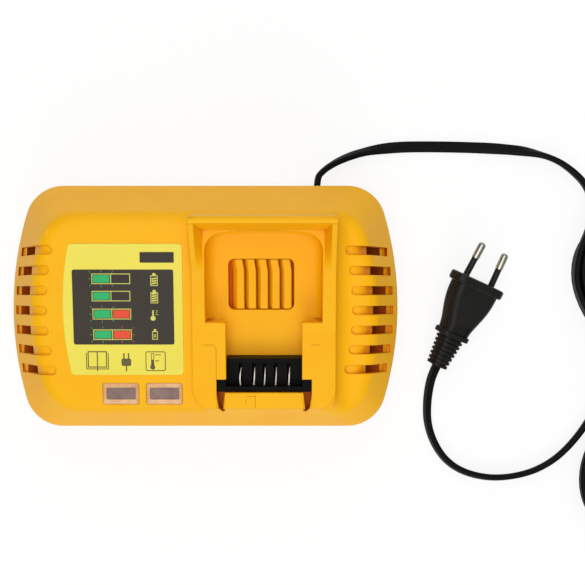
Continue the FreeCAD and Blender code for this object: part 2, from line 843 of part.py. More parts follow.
def contact_blades():
    """Upright tinned blades, round at the leading top corner, that stand in the block's slots."""
    low = -pocket_depth + 2.4
    blades = []
    for offset in blade_offsets:
        front = -block_front + 1.2
        blade = block(offset - blade_thickness / 2, offset + blade_thickness / 2, front, front + blade_length,
                      low, low + blade_rise + 2.4)
        nose = [e for e in blade.Edges if e.BoundBox.YMin > front + blade_length - 0.01
                and e.BoundBox.ZMin > low + blade_rise + 2.39]
        blades.append(blade.makeFillet(2.0, nose))
    return docked(group(blades))


def status_label():
    """A thin printed plate, bowed along its left edge, with a raised plain panel."""
    rear = label_rear / cos(slope)
    front = label_front / cos(slope)
    line = lambda a, b: Part.LineSegment(Vector(*a), Vector(*b)).toShape()
    middle = (rear + front) / 2
    edges = [
        line((label_left, front, 0), (label_right, front, 0)),
        line((label_right, front, 0), (label_right, rear, 0)),
        line((label_right, rear, 0), (label_left, rear, 0)),
        arc((label_left, rear, 0), (label_left - label_bow, middle, 0), (label_left, front, 0)),
    ]
    plate = Part.Face(Part.Wire(edges)).extrude(Vector(0, 0, label_thickness))
    upright = [e for e in plate.Edges if abs(e.BoundBox.ZLength - label_thickness) < 0.01]
    plate = plate.makeFillet(label_corner, upright)
    return slanted(plate)


def lens(centre):
    """A window with its light pipe: a stepped block that drops through the deck."""
    window = window_tool(centre, lens_width, lens_length, -deck_wall, -window_depth + 0.5, 0.8)
    pipe = window_tool(centre, lens_width - 4.0, lens_length - 2.0, -deck_wall - pipe_drop, -deck_wall + 0.01, 0.8)
    return fused([window, pipe])


def indicator_board():
    left, right = min(window_centres) - 12.0, max(window_centres) + 12.0
    top = -deck_wall - pipe_drop - led_height
    middle = window_middle / cos(slope)
    board = rounded_block(left, right, middle - 6.0, middle + 6.0, top - indicator_board_thickness, top, 1.0)
    return slanted(board.cut(Part.makeCompound([rod(x, middle, top - 5, top + 5, 1.2) for x in indicator_bosses()])))


def indicator_bosses():
    return (min(window_centres) - 9.8, sum(window_centres) / 2, max(window_centres) + 9.8)


def indicator_leds():
    top = -deck_wall - pipe_drop - led_height
    middle = window_middle / cos(slope)
    leds = []
    for centre in window_centres:
        for step in (-3.2, 3.2):
            chip = block(centre + step - 1.4, centre + step + 1.4, middle - 1.4, middle + 1.4, top, top + 1.0)
            dome = rod(centre + step, middle, top + 0.9, top + led_height - 0.1, 1.0)
            leds.append(chip.fuse(dome))
    return slanted(group(leds))


def main_board():
    board = rounded_block(-board_length / 2, board_length / 2, -board_front, board_rear,
                          board_height, board_height + board_thickness, 2.0)
    cuts = [rod(x, y, 0, 20, board_screw_radius + 0.2) for x, y in board_posts()]
    return board.cut(Part.makeCompound(cuts))


board_top = board_height + board_thickness


def board_screws():
    bite = board_thickness + board_height - foot_height - base_wall
    return group([screw(x, y, board_top, bite, board_screw_radius - 0.06, 2.6, 1.8, down=True)
                  for x, y in board_posts()])


def transformer_core():
    """Two ferrite halves: three legs each, joined round the winding."""
    x, y = transformer_place
    outer = block(x - core_length / 2, x + core_length / 2, y - core_depth / 2, y + core_depth / 2,
                  board_top + bobbin_foot, board_top + bobbin_foot + core_height)
    leg = core_length / 8
    window_low = board_top + bobbin_foot + leg * 1.2
    window_high = board_top + bobbin_foot + core_height - leg * 1.2
    cuts = []
    for side in (-1, 1):
        inner = x + side * leg
        far = x + side * (core_length / 2 - leg)
        low, high = sorted((inner, far))
        cuts.append(block(low, high, y - core_depth, y + core_depth, window_low, window_high))
    return outer.cut(Part.makeCompound(cuts))


def transformer_winding():
    x, y = transformer_place
    leg = core_length / 8
    low = board_top + bobbin_foot + leg * 1.2 + 0.05
    high = board_top + bobbin_foot + core_height - leg * 1.2 - 0.05
    half_x = core_length / 2 - leg - 0.05
    half_y = core_depth / 2 + half_x - leg
    coil = rounded_block(x - half_x, x + half_x, y - half_y, y + half_y, low + 1.2, high - 1.2, 4.0)
    flanges = [rounded_block(x - half_x, x + half_x, y - half_y - 1, y + half_y + 1, z, z + 1.2, 1.0)
               for z in (low, high - 1.2)]
    foot = block(x - half_x, x + half_x, y - half_y - 1, y - core_depth / 2 - 0.1, board_top, low + 0.1)
    foot2 = block(x - half_x, x + half_x, y + core_depth / 2 + 0.1, y + half_y + 1, board_top, low + 0.1)
    bore = block(x - leg - 0.05, x + leg + 0.05, y - core_depth / 2 - 0.05, y + core_depth / 2 + 0.05, low - 5, high + 5)
    whole = fused([coil] + flanges + [foot, foot2])
    return whole.cut(bore)


def can(x, y, radius, height, base=None):
    """An upright capacitor can with the crimp near its foot and a vent cross on top."""
    base = board_top if base is None else base
    points = [(0, 0), (radius, 0), (radius, 1.6), (radius - 0.5, 2.2), (radius, 2.8), (radius, height - 0.8),
              (radius - 0.8, height), (0, height)]
    wire = Part.makePolygon([Vector(x + r, y, base + z) for r, z in points + points[:1]])
    solid = Part.Face(wire).revolve(Vector(x, y, 0), Vector(0, 0, 1), 360)
    top = base + height
    marks = [block(x - radius * 0.6, x + radius * 0.6, y - 0.2, y + 0.2, top - 0.3, top + 1),
             block(x - 0.2, x + 0.2, y - radius * 0.6, y + radius * 0.6, top - 0.3, top + 1)]
    return solid.cut(Part.makeCompound(marks))


def output_capacitors():
    x, y = output_place
    return group([can(x, y + i * 13.0, 5.0, 16.0) for i in range(3)])


def line_choke():
    """A toroid on its plate, wound on two sides."""
    x, y = choke_place
    plate = block(x - 9, x + 9, y - 5.5, y + 5.5, board_top, board_top + 1.4)
    axis = board_top + 1.4 + choke_radius + 2.6
    ring = Part.makeTorus(choke_radius, 2.0, Vector(x, y, axis), Vector(0, 1, 0))
    turns = []
    for side in (-1, 1):
        for i in range(6):
            angle = radians((i - 2.5) * 20)
            centre = Vector(x + side * choke_radius * cos(angle), y, axis + choke_radius * sin(angle))
            direction = Vector(-side * sin(angle), 0, cos(angle))
            turns.append(Part.makeTorus(2.1, 0.4, centre, direction))
    foot = block(x - 2.4, x + 2.4, y - 2.0, y + 2.0, board_top + 1.0, axis - choke_radius)
    return fused([plate, foot, ring] + turns)


def film_capacitor():
    x, y = film_place
    body = rounded_block(x - 9, x + 9, y - 4, y + 4, board_top, board_top + 14.0, 1.0)
    return body.makeFillet(0.8, [e for e in body.Edges if e.BoundBox.ZMin > board_top + 13.9])


def line_fuse():
    """A ceramic fuse across two spring clips."""
    x, y = fuse_place
    axis = board_top + 4.6
    body = Part.makeCylinder(2.4, 14.0, Vector(x - 7, y, axis), Vector(1, 0, 0))
    caps = [Part.makeCylinder(2.6, 5.0, Vector(x + at, y, axis), Vector(1, 0, 0)) for at in (-10, 5)]
    clips = [block(x + at - 1.6, x + at + 1.6, y - 3.2, y + 3.2, board_top, axis - 1.2) for at in (-7.5, 7.5)]
    return fused([body] + caps + clips)


def bridge_rectifier():
    x, y = bridge_place
    body = block(x - 9, x + 9, y - 2.2, y + 2.2, board_top + 3.0, board_top + 16.0)
    body = body.makeChamfer(1.6, [e for e in body.Edges if e.BoundBox.XMin > x + 8.9 and e.BoundBox.ZMin > board_top + 15.9])
    legs = [rod(x + at, y, board_top, board_top + 3.2, 0.5) for at in (-6.6, -2.2, 2.2, 6.6)]
    return fused([body] + legs)


def heat_sink(x, y, length, fins, height, side):
    """A web with fins on one side; its devices screw to the other."""
    web = block(x - length / 2, x + length / 2, y - 1.2, y + 1.2, board_top, board_top + height)
    pieces = [web]
    for i in range(fins):
        at = x - length / 2 + 0.7 + i * (length - 1.4) / (fins - 1)
        low, high = sorted((y + side * 1.0, y + side * 9.0))
        pieces.append(block(at - 0.7, at + 0.7, low, high, board_top, board_top + height))
    return fused(pieces)


def power_transistor(x, y, side):
    """A tab package flat against its heat sink."""
    low, high = sorted((y + side * 1.2, y + side * 2.5))
    tab = block(x - 5, x + 5, low, high, board_top + 3.0, board_top + 17.4)
    low, high = sorted((y + side * 1.2, y + side * 5.6))
    body = block(x - 5, x + 5, low, high, board_top + 3.0, board_top + 11.8)
    legs = [rod(x + at, y + side * 3.9, board_top, board_top + 3.2, 0.45) for at in (-2.54, 0, 2.54)]
    whole = fused([tab, body] + legs)
    return whole.cut(Part.makeCylinder(1.6, 20, Vector(x, y - 10, board_top + 15.0), Vector(0, 1, 0)))


def output_relay():
    x, y = relay_place
    body = rounded_block(x - 9.5, x + 9.5, y - 7.5, y + 7.5, board_top, board_top + 15.0, 1.0)
    return body.makeFillet(0.8, [e for e in body.Edges if e.BoundBox.ZMin > board_top + 14.9])


def cord_grommet():
    """The bush that grips the cord in the rear wall, tapered at its nose."""
    y0 = grommet_end - grommet_length
    r = grommet_groove_radius
    flange = r + 1.2
    wall_rear = half_depth - base_draft * (parting_height - cord_exit_height) / (parting_height - foot_height) \
        - parting_groove
    groove_front = wall_rear - wall - 1.6
    points = [(0, y0), (r + 0.6, y0), (flange, y0 + 1.6), (flange, groove_front - 0.2), (r, groove_front - 0.2),
              (r, grommet_end - 1.0), (r - 1.0, grommet_end), (0, grommet_end)]
    wire = Part.makePolygon([Vector(cord_exit_x + q, y, cord_exit_height) for q, y in points + points[:1]])
    solid = Part.Face(wire).revolve(Vector(cord_exit_x, 0, cord_exit_height), Vector(0, 1, 0), 360)
    bore = Part.makeCylinder(tube_radius, grommet_length + 2, Vector(cord_exit_x, y0 - 1, cord_exit_height), Vector(0, 1, 0))
    return solid.cut(bore)


def cord_clamp():
    """The saddle screwed down over the cord inside."""
    top = cord_exit_height + tube_radius + 2.2
    bar = block(cord_exit_x - clamp_half_width, cord_exit_x + clamp_half_width, clamp_y - clamp_depth / 2,
                clamp_y + clamp_depth / 2, cord_exit_height + 0.1, top)
    bar = bar.makeFillet(2.0, [e for e in bar.Edges if e.BoundBox.ZMin > top - 0.01 and e.BoundBox.XLength < 0.01])
    cuts = [Part.makeCylinder(tube_radius, 40.0, Vector(cord_exit_x, clamp_y - 20, cord_exit_height), Vector(0, 1, 0))]
    cuts += [rod(cord_exit_x + side * clamp_screw_x, clamp_y, 0, 60, clamp_screw_radius + 0.2) for side in (-1, 1)]
    return bar.cut(Part.makeCompound(cuts))


def clamp_screws():
    top = cord_exit_height + tube_radius + 2.2
    return group([screw(cord_exit_x + side * clamp_screw_x, clamp_y, top, 10.0, clamp_screw_radius - 0.06, 2.4, 1.6,
                        down=True) for side in (-1, 1)])


def route_wire(points):
    """Straight runs joined by tangent arcs, each as large as its runs allow. Returns the wire and the radii."""
    knots = [Vector(*p) for p in points]
    edges = []
    radii = []
    start = knots[0]
    for before, corner, after in zip(knots, knots[1:], knots[2:]):
        back = (before - corner).normalize()
        ahead = (after - corner).normalize()
        turn = pi - back.getAngle(ahead)
        shorter = min((before - corner).Length, (after - corner).Length)
        reach = 0.45 * shorter
        radius = reach / tan(turn / 2)
        radii.append(radius)
        begin = corner + back * reach
        end = corner + ahead * reach
        inward = (back + ahead).normalize()
        middle = corner + inward * (radius / cos(turn / 2) - radius)
        edges.append(Part.LineSegment(start, begin).toShape())
        edges.append(Part.Arc(begin, middle, end).toShape())
        start = end
    edges.append(Part.LineSegment(start, knots[-1]).toShape())
    return Part.Wire(edges), radii


def tube(wire, radius=tube_radius):
    """A round tube along a wire, closed at both ends."""
    first = wire.Edges[0]
    start = first.valueAt(first.FirstParameter)
    heading = first.tangentAt(first.FirstParameter)
    profile = Part.Wire([Part.makeCircle(radius, start, heading)])
    return wire.makePipeShell([profile], True, False)


def checked_tube(name, points):
    wire, radii = route_wire(points)
    solid = tube(wire)
    ratio = solid.Volume / (pi * tube_radius ** 2 * wire.Length)
    print("%s: length %.1f mm, tightest radius %.1f mm, volume ratio %.4f" % (name, wire.Length, min(radii), ratio))
    return solid, wire.Length


def biarc(p0, t0, p1, t1):
    """Two arcs, tangent to each other, from p0 heading t0 to p1 heading t1."""
    span = p1 - p0
    total = t0 + t1
    a = 2 * (t0.dot(t1) - 1)
    b = 2 * span.dot(total)
    c = -span.dot(span)
    if abs(a) < 1e-9:
        d = -c / b
    else:
        d = (b - sqrt(b * b + 4 * a * c)) / (-2 * a) * -1
        if d <= 0:
            d = (b + sqrt(b * b + 4 * a * c)) / (-2 * a) * -1
    q0 = p0 + t0 * d
    q1 = p1 - t1 * d
    joint = (q0 + q1) * 0.5

    def bend(a0, corner, a1):
        chord = (a0 + a1) * 0.5
        height = (corner - chord).Length
        half = (a1 - a0).Length / 2
        if height < 1e-4 * half:
            return Part.LineSegment(a0, a1).toShape()
        reach = (corner - a0).Length
        cosine = half / reach
        rise = half * (1 - cosine) / sqrt(max(1 - cosine ** 2, 1e-12))
        return Part.Arc(a0, chord + (corner - chord).normalize() * rise, a1).toShape()

    return [bend(p0, q0, joint), bend(joint, q1, p1)]


def hank_station(turn):
    """Place and heading of the cord after some turns, counted from the waist's left side, clockwise."""
    middle = hank_turns / 2
    index = abs(middle - turn)
    lobe = hank_lobe + hank_lobe_step * index
    waist = hank_waist_half + hank_waist_step * index
    reach = min(max((turn - middle) / 0.5 + 0.5, 0.0), 1.0)
    height = tube_radius + hank_layer * reach * reach * (3 - 2 * reach)
    slope_up = hank_layer * 6 * reach * (1 - reach) / 0.5 if 0 < reach < 1 else 0.0
    phase = round((turn % 1.0) * 8) % 8
    places = {
        0: ((-waist, hank_waist), (0, 1), 60.0),
        1: ((-lobe, hank_upper), (0, 1), 50.0),
        2: ((0, hank_upper + lobe), (1, 0), 40.0),
        3: ((lobe, hank_upper), (0, -1), 50.0),
        4: ((waist, hank_waist), (0, -1), 60.0),
        5: ((lobe, hank_lower), (0, -1), 50.0),
        6: ((0, hank_lower - lobe), (-1, 0), 40.0),
        7: ((-lobe, hank_lower), (0, 1), 50.0),
    }
    (x, y), (hx, hy), pace = places[phase]
    if phase in (0, 4):
        height += tie_thickness + fit_gap
    heading = Vector(hx, hy, slope_up / (pace * 8)).normalize()
    return Vector(hank_x + x, y, height), heading


def hank_leaving():
    """Where the last turn leaves the upper lobe, part of the way round its corner."""
    turn = hank_turns + 0.125
    lobe = hank_lobe + hank_lobe_step * (turn - hank_turns / 2)
    angle = radians(hank_leave)
    place = Vector(hank_x + lobe * cos(angle), hank_upper + lobe * sin(angle), tube_radius + hank_layer)
    return place, Vector(sin(angle), -cos(angle), 0)


def hank_wire():
    stations = [hank_station(i / 8) for i in range(int(round(hank_turns * 8)) + 2)]
    stations.append(hank_leaving())
    first, heading = stations[0]
    edges = [Part.LineSegment(first - heading * cord_diameter, first).toShape()]
    for (p0, t0), (p1, t1) in zip(stations, stations[1:]):
        edges += biarc(p0, t0, p1, t1)
    last, heading = stations[-1]
    edges.append(Part.LineSegment(last, last + heading * cord_diameter).toShape())
    return Part.Wire(edges), stations


def least_gap(wire):
    """The least gap between two turns, on points along the wire."""
    points = wire.discretize(Distance=2.0)
    skip = int(hank_measure_points * cord_diameter / 2.0 / 2)
    best = 1e9
    for i in range(0, len(points)):
        for j in range(i + skip, len(points)):
            gap = (points[i] - points[j]).Length
            if gap < best:
                best = gap
    return best - cord_diameter


def cord_hank():
    wire, stations = hank_wire()
    solid = tube(wire)
    ratio = solid.Volume / (pi * tube_radius ** 2 * wire.Length)
    print("hank: length %.1f mm, volume ratio %.4f, least gap %.2f mm" % (wire.Length, ratio, least_gap(wire)))
    return solid, wire.Length


def cord_tie():
    """A band round the waist of the hank, clear of the cord."""
    reach = hank_waist_half + hank_waist_step * hank_turns / 2 + tube_radius + 0.5
    top = tie_thickness + 2 * fit_gap + 2 * tube_radius + hank_layer
    outer = rounded(-reach - tie_thickness, reach + tie_thickness, 0, top + tie_thickness, 0, 4.0)
    inner = rounded(-reach, reach, tie_thickness, top, 0, 3.2)
    band = Part.Face(outer).extrude(Vector(0, 0, tie_width))
    band = band.cut(Part.Face(inner).extrude(Vector(0, 0, tie_width)))
    band.rotate(Vector(0, 0, 0), Vector(1, 0, 0), 90)
    band.translate(Vector(hank_x, tie_place + tie_width / 2, 0))
    return band


def plug_place(shape):
    """From the plug's own frame (x along its pins, y across, z up) to where it lies."""
    copy = shape.copy()
    copy.rotate(Vector(0, 0, 0), Vector(1, 0, 0), plug_roll)
    copy.rotate(Vector(0, 0, 0), Vector(0, 1, 0), -plug_pitch)
    copy.rotate(Vector(0, 0, 0), Vector(0, 0, 1), 90 - plug_heading)
    copy.translate(Vector(plug_x, plug_y, plug_z))
    return copy


def plug_point(x, y=0.0, z=0.0):
    return plug_place(Part.Vertex(Vector(x, y, z))).Point


def across(x, width, height, radius):
    """A round-cornered section square to the plug's axis."""
    wire = rounded(-width / 2, width / 2, -height / 2, height / 2, 0, radius)
    wire.rotate(Vector(0, 0, 0), Vector(1, 0, 0), 90)
    wire.rotate(Vector(0, 0, 0), Vector(0, 0, 1), 90)
    wire.translate(Vector(x, 0, 0))
    return wire


def plug_body():
    flange = Part.Face(across(-flange_depth, flange_width, flange_height, 5.6)).extrude(Vector(flange_depth, 0, 0))
    flange = flange.makeFillet(1.2, [e for e in flange.Edges if e.BoundBox.XLength < 0.01])
    shoulder = []
    for along, narrow in ((-0.02, 0.0), (0.28, 0.09), (0.51, 0.35), (0.75, 0.74), (1.0, 1.0)):
        width = plug_shoulder_width + (plug_neck_width - plug_shoulder_width) * narrow
        height = flange_height - 1.4 + (plug_neck_height - flange_height + 1.4) * narrow
        shoulder.append(across(-flange_depth - (plug_body_depth - flange_depth) * along, width, height, 4.4))
    body = Part.makeLoft(shoulder, True, False)
    nub = Part.Face(across(-plug_body_depth - 2.6, plug_neck_width + 2.1, plug_neck_height + 0.8, 4.0))
    nub = nub.extrude(Vector(2.8, 0, 0))
    nub = nub.makeFillet(0.7, [e for e in nub.Edges if e.BoundBox.XLength < 0.01])
    whole = fused([flange, body, nub])
    step = block(-plug_body_depth, -plug_body_depth + 5.5, -5.0, 5.0, plug_neck_height / 2 - plug_step_depth,
                 flange_height)
    cuts = [step]
    for side in (-1, 1):
        cuts.append(pin_axis(Part.makeCylinder(pin_core, pin_root + 1, Vector(-pin_root, 0, 0), Vector(1, 0, 0)), side))
    return plug_place(whole.cut(Part.makeCompound(cuts)))


def plug_boot():
    """The ribbed sleeve behind the plug, tapered and slotted so that it bends."""
    start = -plug_body_depth - 2.6
    pieces = []
    core = Part.makeLoft([across(start, boot_width - 1.4, plug_neck_height - 2.2, 3.6),
                          across(start - boot_length, boot_tip_width - 1.4, boot_tip_width - 1.4, 3.6)], True, True)
    pieces.append(core)
    pitch = boot_length / boot_ribs
    for i in range(boot_ribs):
        at = start - pitch * (i + 1)
        share = (i + 1) / boot_ribs
        width = boot_width + (boot_tip_width - boot_width) * share
        height = plug_neck_height + (boot_tip_width - plug_neck_height) * share
        rib = Part.Face(across(at, width, height, min(width, height) * 0.36)).extrude(Vector(pitch * 0.55, 0, 0))
        pieces.append(rib)
    whole = fused(pieces)
    bore = Part.makeCylinder(tube_radius, boot_length * 0.6 + 1, Vector(start - boot_length - 1, 0, 0), Vector(1, 0, 0))
    return plug_place(whole.cut(bore))


def pin_axis(shape, side):
    toe = -side * degrees(asin(pin_toe / 2 / pin_length))
    copy = shape.copy()
    copy.rotate(Vector(0, 0, 0), Vector(0, 0, 1), toe)
    copy.translate(Vector(0, side * pin_spacing / 2, 0))
    return copy


def plug_pins():
    pins = []
    sleeve = pin_length - pin_bare
    points = [(-pin_root + 1.0, 0), (-pin_root + 1.0, pin_core - 0.1), (sleeve, pin_core - 0.1), (sleeve, pin_radius),
              (pin_length - 1.2, pin_radius), (pin_length - 0.35, pin_radius - 0.7), (pin_length, 0)]
    wire = Part.makePolygon([Vector(x, 0, r) for x, r in points + points[:1]])
    pin = Part.Face(wire).revolve(Vector(0, 0, 0), Vector(1, 0, 0), 360)
    for side in (-1, 1):
        pins.append(pin_axis(pin, side))
    return plug_place(group(pins))


def pin_sleeves():
    sleeve = pin_length - pin_bare
    ring = Part.makeCylinder(sleeve_radius, sleeve - 0.15, Vector(0.1, 0, 0), Vector(1, 0, 0))
    ring = ring.cut(Part.makeCylinder(pin_core, sleeve + 2, Vector(-1, 0, 0), Vector(1, 0, 0)))
    return plug_place(group([pin_axis(ring, side) for side in (-1, 1)]))


def wire_tube(points, radius):
    wire, radii = route_wire(points)
    return tube(wire, radius)


def mains_leads():
    """The two cores from the clamp down to the board."""
    start = clamp_y - clamp_depth / 2
    leads = []
    for side in (-1, 1):
        x = cord_exit_x + side * 1.6
        foot = cord_exit_x - 6.1 + side * 1.6
        leads.append(wire_tube([(x, start, cord_exit_height), (x, start - 4.0, cord_exit_height),
                                (foot, start - 10.0, board_top + 6.0), (foot, start - 12.0, board_top + 4.0),
                                (foot, start - 12.0, board_top)], 1.2))
    return group(leads)


def output_leads():
    """Wires from the board up to the contact block."""
    leads = []
    for offset in blade_offsets:
        x = dock_centre + offset * 0.8
        under = -pocket_depth - floor_wall
        top, low = [docked(Part.Vertex(Vector(offset, -block_front + 4.0, w))).Point for w in (under, under - 7.0)]
        leads.append(wire_tube([(x, lead_foot_y, board_top), (x, lead_foot_y, board_top + 8.0),
                                (low.x, low.y, low.z), (top.x, top.y, top.z)], 1.1))
    return group(leads)


hank, hank_length = cord_hank()
leave, leave_heading = hank_leaving()
lead_end = leave + leave_heading * cord_diameter
lead_turn = lead_end + leave_heading * 9.0
hank_start = hank_station(0.0)[0]
boot_end = plug_point(-plug_body_depth - 2.6 - boot_length * 0.6)
boot_mouth = plug_point(-plug_body_depth - 2.6 - boot_length - 4.0)

# The cord's free stretches, as they lie on the table.
lead_route = [
    (cord_exit_x, clamp_y - clamp_depth / 2, cord_exit_height),
    (cord_exit_x, grommet_end + 5.4, cord_exit_height),
    (62.0, 76.2, 6.0),
    (73.5, 82.9, 3.0),
    (92.5, 85.9, 3.0),
    (118.0, 86.4, 3.0),
    (143.5, 86.0, 3.0),
    (166.0, 84.6, 3.0),
    (183.5, 81.6, 3.0),
    (196.0, 73.8, 3.0),
    (203.9, 64.4, 3.2),
    (lead_turn.x + 0.5, lead_turn.y + 10.4, 6.4),
    (lead_turn.x, lead_turn.y, lead_turn.z),
    (lead_end.x, lead_end.y, lead_end.z),
]
tail_route = [
    (boot_end.x, boot_end.y, boot_end.z),
    (boot_mouth.x, boot_mouth.y, boot_mouth.z),
    (118.2, -47.5, 4.0),
    (117.0, -61.5, 3.0),
    (120.6, -75.5, 3.0),
    (130.0, -86.8, 3.0),
    (144.5, -92.8, 3.0),
    (160.5, -93.8, 3.0),
    (176.0, -90.5, 3.0),
    (189.0, -82.3, 3.0),
    (198.6, -72.2, 3.0),
    (205.6, -62.4, 3.3),
    (hank_start.x, hank_start.y - cord_diameter - 7.5, hank_start.z),
    (hank_start.x, hank_start.y - cord_diameter, hank_start.z),
]
lead, lead_length = checked_tube("lead", lead_route)
tail, tail_length = checked_tube("tail", tail_route)
print("cord: %.0f mm in all" % (lead_length + tail_length + hank_length))

save("upper_housing", upper_housing())
save("lower_housing", lower_housing())
save("fan_grille", fan_grille())
save("status_label", status_label())
save("left_lens", lens(window_centres[0]))
save("right_lens", lens(window_centres[1]))
save("indicator_board", indicator_board())
save("indicator_leds", indicator_leds())
save("contact_block", terminal_block())
save("contact_blades", contact_blades())
save("fan_frame", fan_frame())
save("fan_rotor", fan_rotor())
save("fan_screws", fan_screws())
save("main_board", main_board())
save("board_screws", board_screws())
save("transformer_core", transformer_core())
save("transformer_winding", transformer_winding())
save("bulk_capacitor", can(bulk_place[0], bulk_place[1], bulk_radius, bulk_height))
save("output_capacitors", output_capacitors())
save("line_choke", line_choke())
save("film_capacitor", film_capacitor())
save("line_fuse", line_fuse())
save("bridge_rectifier", bridge_rectifier())
save("line_heat_sink", heat_sink(-4.0, -22.0, 26.0, 7, 20.0, 1))
save("output_heat_sink", heat_sink(26.0, -18.0, 26.0, 7, 16.0, 1))
save("power_transistors", group([power_transistor(-4.0, -22.0, -1), power_transistor(26.0, -18.0, -1)]))
save("output_relay", output_relay())
save("housing_screws", housing_screws())
save("rubber_feet", rubber_feet())
save("cord_grommet", cord_grommet())
save("cord_clamp", cord_clamp())
save("clamp_screws", clamp_screws())
save("mains_leads", mains_leads())
save("output_leads", output_leads())
save("cord_lead", lead)
save("cord_hank", hank)
save("cord_tail", tail)
save("cord_tie", cord_tie())
save("plug_body", plug_body())
save("plug_boot", plug_boot())
save("plug_pins", plug_pins())
save("pin_sleeves", pin_sleeves())
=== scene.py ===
import math

import bmesh
import bpy
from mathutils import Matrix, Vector


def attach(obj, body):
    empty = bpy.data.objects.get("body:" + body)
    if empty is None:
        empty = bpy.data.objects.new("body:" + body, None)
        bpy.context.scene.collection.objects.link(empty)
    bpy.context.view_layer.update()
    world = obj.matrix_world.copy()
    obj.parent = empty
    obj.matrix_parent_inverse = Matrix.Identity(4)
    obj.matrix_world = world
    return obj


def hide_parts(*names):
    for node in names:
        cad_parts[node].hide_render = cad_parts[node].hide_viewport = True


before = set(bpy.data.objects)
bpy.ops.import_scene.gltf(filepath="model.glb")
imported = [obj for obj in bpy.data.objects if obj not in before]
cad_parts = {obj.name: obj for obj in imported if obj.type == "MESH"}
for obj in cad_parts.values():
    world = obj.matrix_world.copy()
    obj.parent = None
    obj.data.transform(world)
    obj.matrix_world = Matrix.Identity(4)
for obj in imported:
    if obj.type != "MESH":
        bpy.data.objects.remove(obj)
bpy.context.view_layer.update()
mm = 0.001
print("frame loaded")

# The camera looks straight down. Its height and place come from the pins' real size and the body's sides.
view = {"across": 45.3, "up": 6.9, "height": 570.0, "focalPixels": 1052.0, "picturePixels": 585.0,
        "sensor": 36.0, "clip": (0.01, 20.0)}

camera = bpy.data.cameras.new("camera")
camera.sensor_width = view["sensor"]
camera.lens = view["focalPixels"] / view["picturePixels"] * view["sensor"]
camera.clip_start, camera.clip_end = view["clip"]
cameraObject = bpy.data.objects.new("camera", camera)
cameraObject.location = (view["across"] * mm, view["up"] * mm, view["height"] * mm)
bpy.context.scene.collection.objects.link(cameraObject)
bpy.context.scene.camera = cameraObject


def linear(hexColour):
    # sRGB hex to linear RGBA
    parts = [int(hexColour[i:i + 2], 16) / 255 for i in (0, 2, 4)]
    return tuple(p / 12.92 if p <= 0.04045 else ((p + 0.055) / 1.055) ** 2.4 for p in parts) + (1.0,)


def addNode(tree, kind, settings=None, links=None):
    # one node, its plain settings and socket values, and the sockets that feed it
    node = tree.nodes.new(kind)
    for name, value in (settings or {}).items():
        if isinstance(name, str) and hasattr(node, name):
            setattr(node, name, value)
        else:
            node.inputs[name].default_value = value
    for name, socket in (links or {}).items():
        tree.links.new(socket, node.inputs[name])
    return node


def newFinish(name):
    material = bpy.data.materials.new(name)
    material.use_nodes = True
    material.node_tree.nodes.clear()
    return material, material.node_tree


def closeFinish(tree, shader):
    addNode(tree, "ShaderNodeOutputMaterial", links={"Surface": shader.outputs[0]})


def noise(tree, place, size, detail, roughness=0.5):
    # a pattern whose marks are about this many mm across
    settings = {"Scale": 1000 / size, "Detail": detail, "Roughness": roughness}
    return addNode(tree, "ShaderNodeTexNoise", settings, {"Vector": place}).outputs[0]


def shadeRamp(tree, value, low, high):
    # two close colours of one stuff, mixed by a pattern
    spread = addNode(tree, "ShaderNodeMapRange", {"From Min": 0.3, "From Max": 0.7}, {"Value": value})
    return addNode(tree, "ShaderNodeMix", {"data_type": "RGBA", 6: linear(low), 7: linear(high)},
                   {0: spread.outputs[0]}).outputs[2]


def mouldedPlastic(name, low, high, rough, shine=0.5, ior=1.54, grain=0.45, depth=0.012, patch=22.0,
                   edge=0.35, hollowShade=None):
    # Injection moulded plastic: an even colour with faint flow patches, a fine eroded grain from the mould,
    # and edges that the tool left slightly round. Where a shade colour is given, it is painted shade: an
    # occlusion mask mixes it into narrow hollows, standing in for the shade and bounced light there. Grain,
    # depth, patch and edge are in mm.
    material, tree = newFinish(name)
    place = addNode(tree, "ShaderNodeTexCoord").outputs["Object"]
    flow = noise(tree, place, patch, 3.0, 0.55)
    speckle = noise(tree, place, grain, 2.0, 0.6)
    colour = shadeRamp(tree, flow, low, high)
    gloss = addNode(tree, "ShaderNodeMapRange", {"To Min": rough - 0.05, "To Max": rough + 0.06},
                    {"Value": speckle})
    # painted shade: the colour turns to the shade colour where the occlusion mask finds a narrow hollow
    if hollowShade:
        occlusionMask = addNode(tree, "ShaderNodeAmbientOcclusion", {"samples": 8, "Distance": 9 * mm})
        unshadedShare = addNode(tree, "ShaderNodeMapRange", {"From Min": 0.06, "From Max": 0.6},
                            {"Value": occlusionMask.outputs["AO"]})
        colour = addNode(tree, "ShaderNodeMix", {"data_type": "RGBA", 6: linear(hollowShade)},
                         {0: unshadedShare.outputs[0], 7: colour}).outputs[2]
    rim = addNode(tree, "ShaderNodeBevel", {"samples": 4, "Radius": edge * mm})
    bump = addNode(tree, "ShaderNodeBump", {"Strength": 0.6, "Distance": depth * mm},
                   {"Height": speckle, "Normal": rim.outputs[0]})
    shader = addNode(tree, "ShaderNodeBsdfPrincipled", {"IOR": ior, "Specular IOR Level": shine},
                     {"Base Color": colour, "Roughness": gloss.outputs[0], "Normal": bump.outputs[0]})
    closeFinish(tree, shader)
    return material


